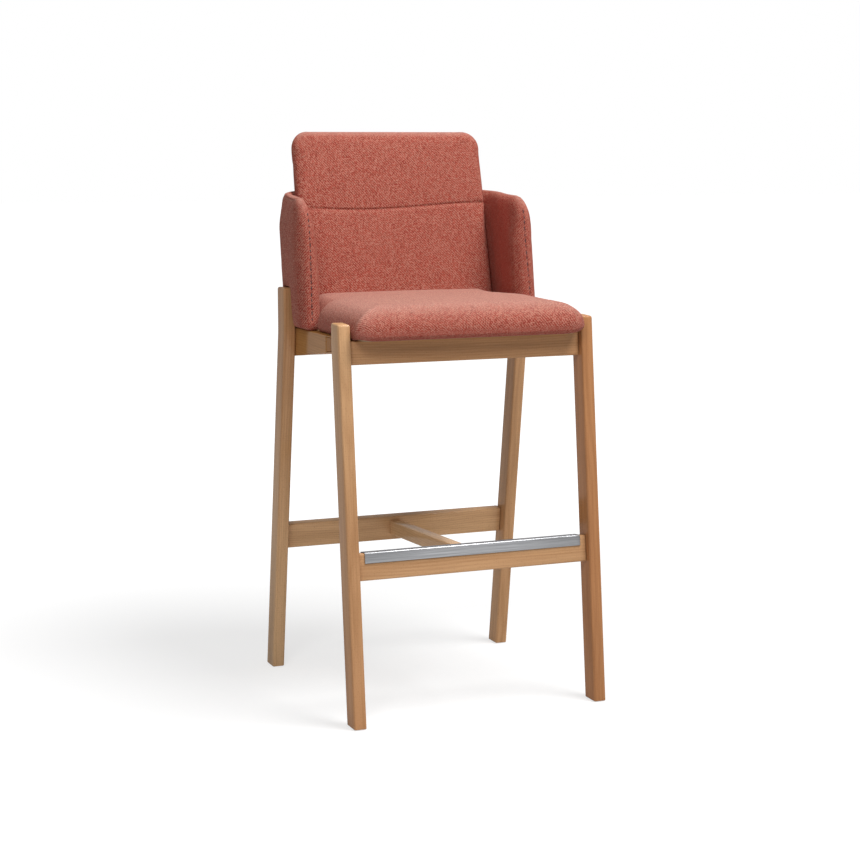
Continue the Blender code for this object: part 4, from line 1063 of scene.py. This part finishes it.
def fabric_material(pads, finish):
    """Twill: two sets of yarns, each passing over two and under two of the other.  Yarns vary
    along their length, so that red, deep red and sand threads mingle in fine diagonal lines, and
    a soft sheen stands for the loose fibres.  The colour carries painted shade between the yarns,
    and painted light and shade from an attribute of the cover, paler on the faces that look
    upwards."""
    nodes = Nodes("coral_fabric")
    uv = nodes.put("ShaderNodeUVMap", uv_map="weave")
    waver = (nodes.noise(uv, 30.0) - 0.5) * 0.8
    u, v, _ = nodes.separate(uv)
    a, b = u / pads.yarn + waver, v / pads.yarn - waver
    column, row = nodes.floor(a), nodes.floor(b)
    warp_up = nodes.math("LESS_THAN", nodes.math("FRACT", (column + row) * 0.25), 0.5)
    across_warp, across_weft = (nodes.math("POWER", nodes.wave(place), 2.0) for place in (a, b))
    bend = nodes.put("ShaderNodeMix", {0: warp_up, 2: across_weft, 3: across_warp},
                     data_type="FLOAT")
    height = 1.0 - bend * 3.2
    spot = nodes.white(column, row, warp_up)
    warp_tone = nodes.white(column, nodes.floor(b / 3.0), 3.0)
    weft_tone = nodes.white(nodes.floor(a / 3.0), row, 8.0)
    red, deep, sand = opaque(finish.red), opaque(finish.deep_red), opaque(finish.sand)
    warp = nodes.mix(nodes.ramp(warp_tone, 0.20, 1.0, 0.10, 0.68), red, deep)
    weft = nodes.mix(nodes.ramp(weft_tone, 0.05, 0.80, 0.18, 0.66), red, sand)
    cloth = nodes.mix(warp_up, weft, warp)
    cloth = nodes.mix(nodes.ramp(spot, 0.62, 0.95, 0.0, 0.60), cloth, sand)
    cloth = nodes.mix(nodes.ramp(spot, 0.38, 0.05, 0.0, 0.60), cloth, deep)
    # Painted light and shade: faces that look upwards, the arms' outer sides and the seat's sides
    # are painted paler towards a pale tone, and the arms' inner sides a deeper red
    painted_light_and_shade = nodes.attribute("painted_light_and_shade")
    cloth = nodes.mix(nodes.ramp(painted_light_and_shade, 0.0, 1.5, 0.0, 0.30), cloth, opaque(finish.painted_top_light))
    cloth = nodes.mix(nodes.ramp(painted_light_and_shade, 0.0, -1.0, 0.0, 0.65), cloth, red)
    # Painted shade: the colour is darkened between the yarns, where the weave's height is low,
    # besides the bump
    return nodes.surface({
        "Base Color": nodes.tone(cloth, height * 0.50 + 0.56),
        "Roughness": 0.92,
        "Specular IOR Level": 0.08,
        "Sheen Weight": 0.10,
        "Sheen Roughness": 0.40,
        "Sheen Tint": FIBRE_SHEEN,
    }, height=height, strength=0.45, distance=0.0007)


def thread_material(finish):
    """Sewing thread: a fine diagonal twist."""
    nodes = Nodes("sewing_thread")
    x, y, z = nodes.separate(nodes.where())
    twists_per_metre = 2200.0
    twist = nodes.math("FRACT", (x + y + z) * twists_per_metre)
    return nodes.surface({
        "Base Color": nodes.mix(twist, opaque(finish.thread), THREAD_LIGHT),
        "Roughness": 0.65,
    }, height=twist, strength=0.4, distance=0.0001)


def steel_material(finish):
    """Brushed steel: fine scratches along the channel in its tone, roughness and bump, and a
    painted reflection: darker towards both ends and brighter in the middle."""
    nodes = Nodes("brushed_steel")
    place = nodes.separate(nodes.where())
    scratch = nodes.streaks(place, 9.0, 1100.0, detail=3.0, roughness=0.65)
    patch = nodes.streaks(place, 7.0, 1.0)
    # Painted reflection: the tone darkens towards both ends of the channel and stays bright in the
    # middle
    painted_reflection_falloff = nodes.ramp(nodes.math("ABSOLUTE", place[0]), 0.06, 0.20, 0.0, 0.40)
    tone = nodes.ramp(scratch, 0.3, 0.7, 0.0, 0.85) + patch * 0.20 + painted_reflection_falloff
    return nodes.surface({
        "Base Color": nodes.mix(tone, opaque(finish.steel), opaque(finish.steel, 0.55)),
        "Roughness": nodes.ramp(scratch, 0.2, 0.8, 0.32, 0.44),
        "Metallic": 1.0,
        "Anisotropic": 0.5,
        "Specular Tint": STEEL_EDGE,
    }, height=scratch, strength=0.25, distance=0.00006)


def clouded_material(name, base, share, scale, detail, roughness, strength, distance, metal):
    """A plain surface with faint clouds in its tone, down to a share of its colour, in its
    roughness and its bump."""
    nodes = Nodes(name)
    cloud = nodes.noise(nodes.where(), scale, detail)
    return nodes.surface({
        "Base Color": nodes.mix(cloud, opaque(base), opaque(base, share)),
        "Roughness": nodes.ramp(cloud, 0.3, 0.7, *roughness),
        "Metallic": metal,
    }, cloud, strength, distance)


def ply_material(name, finish):
    """Plywood: veneers whose edges show as bands, with a streaked face."""
    nodes = Nodes(name)
    place = nodes.separate(nodes.where())
    veneers_per_metre = 400.0
    layer = nodes.wave((place[2] + place[1] * 0.2) * veneers_per_metre)
    layer = nodes.ramp(layer, 0.1, 0.4)
    streak = nodes.streaks(place, 6.0, 180.0, detail=3.0)
    dark = layer * 0.22 + streak * 0.5
    return nodes.surface({
        "Base Color": nodes.mix(dark, opaque(finish.ply), opaque(finish.ply, 0.55)),
        "Roughness": 0.62,
    }, height=streak, strength=0.3, distance=0.0002)


def stage_material(settings):
    """Pale floor: it keeps the stool's shadow, and a glow that the camera's own rays see lifts it
    to white, the more the further it lies from the stool."""
    nodes = Nodes("studio_floor")
    tree = nodes.tree.nodes
    tree.remove(tree["Principled BSDF"])
    seen = nodes.seen_directly()
    dimmed = nodes.mix(seen, opaque(settings.floor), opaque([settings.floor_seen] * 3))
    glow = seen * nodes.ramp(nodes.length(nodes.where()), 0.5, 2.4, settings.floor_glow, 1.0)
    parts = {0: nodes.put("ShaderNodeBsdfDiffuse", {0: dimmed}),
             1: nodes.put("ShaderNodeEmission", {1: glow})}
    nodes.fill(tree["Material Output"], {0: nodes.put("ShaderNodeAddShader", parts)})
    return nodes.owner


def studio_world(settings):
    """White for the camera; an even, weaker light for the stool."""
    nodes = Nodes("studio", "worlds")
    strength = nodes.ramp(nodes.seen_directly(), 0.0, 1.0, settings.sky, 1.0)
    nodes.fill(nodes.tree.nodes["Background"], {0: (1.0, 1.0, 1.0, 1.0), 1: strength})
    return nodes.owner


def soft_light(name, power, size, direction):
    """A round soft light that shines at the stool's middle from a direction."""
    middle, distance = Vector((0.0, 0.0, 0.6)), 3.2
    lamp = bpy.data.lights.new(name, "AREA")
    lamp.shape = "DISK"
    lamp.size = size
    lamp.energy = power
    light = bpy.data.objects.new(name, lamp)
    direction = Vector(direction).normalized()
    light.location = middle + direction * distance
    light.rotation_euler = direction.to_track_quat("Z", "Y").to_euler()
    bpy.context.scene.collection.objects.link(light)


# Operators

class STOOL_OT_finishes(bpy.types.Operator):
    """Make every material and give the CAD nodes that stay visible theirs"""
    bl_idname = "stool.finishes"
    bl_label = "Finishes"

    def execute(self, context):
        scene = context.scene
        finish = scene.stool_finishes
        pale, amber, raw = finish.beech_pale, finish.beech_amber, finish.raw_beech
        fleck = finish.beech_fleck
        wood_material("lacquered_beech", pale, finish.beech_warm, fleck)
        thread_material(finish)
        keys = wood_material("lacquered_beech_keys", pale, amber, fleck, "z", 1.4)
        by_slot = {
            "beech": wood_material("lacquered_beech_rails", pale, amber, fleck, "y", 0.95),
            "raw_beech": wood_material("raw_beech_blocks", raw, raw, fleck, "x", 0.0, False),
            "plywood": ply_material("beech_plywood", finish),
            "fabric": fabric_material(scene.stool_pads, finish),
            "footrest_steel": steel_material(finish),
            "screw_steel": clouded_material(
                "zinc_plated_steel", finish.zinc, share=0.7, scale=420.0, detail=3.0,
                roughness=(0.28, 0.45), strength=0.2, distance=0.00005, metal=1.0),
            "glide_nylon": clouded_material(
                "glide_nylon", finish.nylon, share=0.6, scale=2400.0, detail=2.0,
                roughness=(0.45, 0.62), strength=0.3, distance=0.00008, metal=0.0),
        }
        slots = {part["node"]: part["material_slot"] for part in frame["record"]["subparts"]}
        for node, piece in frame["nodes"].items():
            for slot in piece.material_slots:
                slot.material = keys if node.startswith("rail_key") else by_slot[slots[node]]
        return {"FINISHED"}


class STOOL_OT_legs(bpy.types.Operator):
    """Four beech legs with rounded edges and heads"""
    bl_idname = "stool.legs"
    bl_label = "Legs"

    def execute(self, context):
        make_legs(context.scene.stool_wood)
        return {"FINISHED"}


class STOOL_OT_boards(bpy.types.Operator):
    """Stretchers and aprons"""
    bl_idname = "stool.boards"
    bl_label = "Boards"

    def execute(self, context):
        make_boards(context.scene.stool_wood)
        return {"FINISHED"}


class STOOL_OT_footrest(bpy.types.Operator):
    """Brushed steel channel over the front stretcher"""
    bl_idname = "stool.footrest"
    bl_label = "Footrest"

    def execute(self, context):
        make_channel(context.scene.stool_wood, context.scene.stool_steel)
        return {"FINISHED"}


class STOOL_OT_seat(bpy.types.Operator):
    """Seat cushion"""
    bl_idname = "stool.seat"
    bl_label = "Seat"

    def execute(self, context):
        make_seat(context.scene.stool_pads)
        return {"FINISHED"}


class STOOL_OT_arm_shell(bpy.types.Operator):
    """Wrap-round arm shell and the stitches of its seams"""
    bl_idname = "stool.arm_shell"
    bl_label = "Arm shell"

    def execute(self, context):
        make_stitches(context.scene.stool_pads, make_shell(context.scene.stool_pads))
        return {"FINISHED"}


class STOOL_OT_back(bpy.types.Operator):
    """Back cushion with its sewn channel"""
    bl_idname = "stool.back"
    bl_label = "Back"

    def execute(self, context):
        make_back(context.scene.stool_pads)
        return {"FINISHED"}


class STOOL_OT_stage(bpy.types.Operator):
    """Floor, lights and camera"""
    bl_idname = "stool.stage"
    bl_label = "Stage"

    def execute(self, context):
        scene = context.scene
        settings = scene.stool_stage
        mesh = bpy.data.meshes.new("floor")
        reach = 30.0
        corners = ((-1, -1), (1, -1), (1, 1), (-1, 1))
        mesh.from_pydata([(x * reach, y * reach, 0) for x, y in corners], [], [(0, 1, 2, 3)])
        mesh.materials.append(stage_material(settings))
        floor = bpy.data.objects.new("floor", mesh)
        scene.collection.objects.link(floor)
        scene.world = studio_world(settings)
        soft_light("key", settings.key_power, size=1.6, direction=(0.30, -0.34, 0.89))
        soft_light("fill", settings.fill_power, size=1.2, direction=(-0.43, -0.66, 0.62))
        lens = bpy.data.cameras.new("camera")
        lens.lens = settings.lens
        lens.sensor_width = SENSOR
        camera = bpy.data.objects.new("camera", lens)
        ahead, right = Vector(CAMERA_AHEAD).normalized(), Vector(CAMERA_RIGHT).normalized()
        matrix = Matrix((right, right.cross(ahead), -ahead)).transposed().to_4x4()
        matrix.translation = Vector(CAMERA_PLACE)
        camera.matrix_world = matrix
        scene.collection.objects.link(camera)
        scene.camera = camera
        scene.view_settings.view_transform = "Standard"
        return {"FINISHED"}


class STOOL_PT_panel(bpy.types.Panel):
    """Steps and sizes of the bar stool"""
    bl_idname = "STOOL_PT_panel"
    bl_label = "Bar stool"
    bl_space_type = "VIEW_3D"
    bl_region_type = "UI"
    bl_category = "Bar stool"

    def draw(self, context):
        for step in STEPS:
            self.layout.operator(step.bl_idname)
        for name, group in GROUPS.items():
            box = self.layout.box()
            box.label(text=group.__name__)
            for key in group.__annotations__:
                box.prop(getattr(context.scene, name), key)


GROUPS = {"stool_wood": WoodSizes, "stool_steel": SteelSizes, "stool_pads": PadSizes,
          "stool_finishes": Finishes, "stool_stage": StageSettings}
STEPS = (STOOL_OT_finishes, STOOL_OT_legs, STOOL_OT_boards, STOOL_OT_footrest, STOOL_OT_seat,
         STOOL_OT_arm_shell, STOOL_OT_back, STOOL_OT_stage)


def register():
    for name, group in GROUPS.items():
        bpy.utils.register_class(group)
        setattr(bpy.types.Scene, name, PointerProperty(type=group))
    for step in (*STEPS, STOOL_PT_panel):
        bpy.utils.register_class(step)


def unregister():
    for step in (STOOL_PT_panel, *reversed(STEPS)):
        bpy.utils.unregister_class(step)
    for name, group in GROUPS.items():
        delattr(bpy.types.Scene, name)
        bpy.utils.unregister_class(group)


def main():
    register()
    for step in STEPS:
        group, operator = step.bl_idname.split(".")
        getattr(getattr(bpy.ops, group), operator)()


if __name__ == "__main__":
    main()
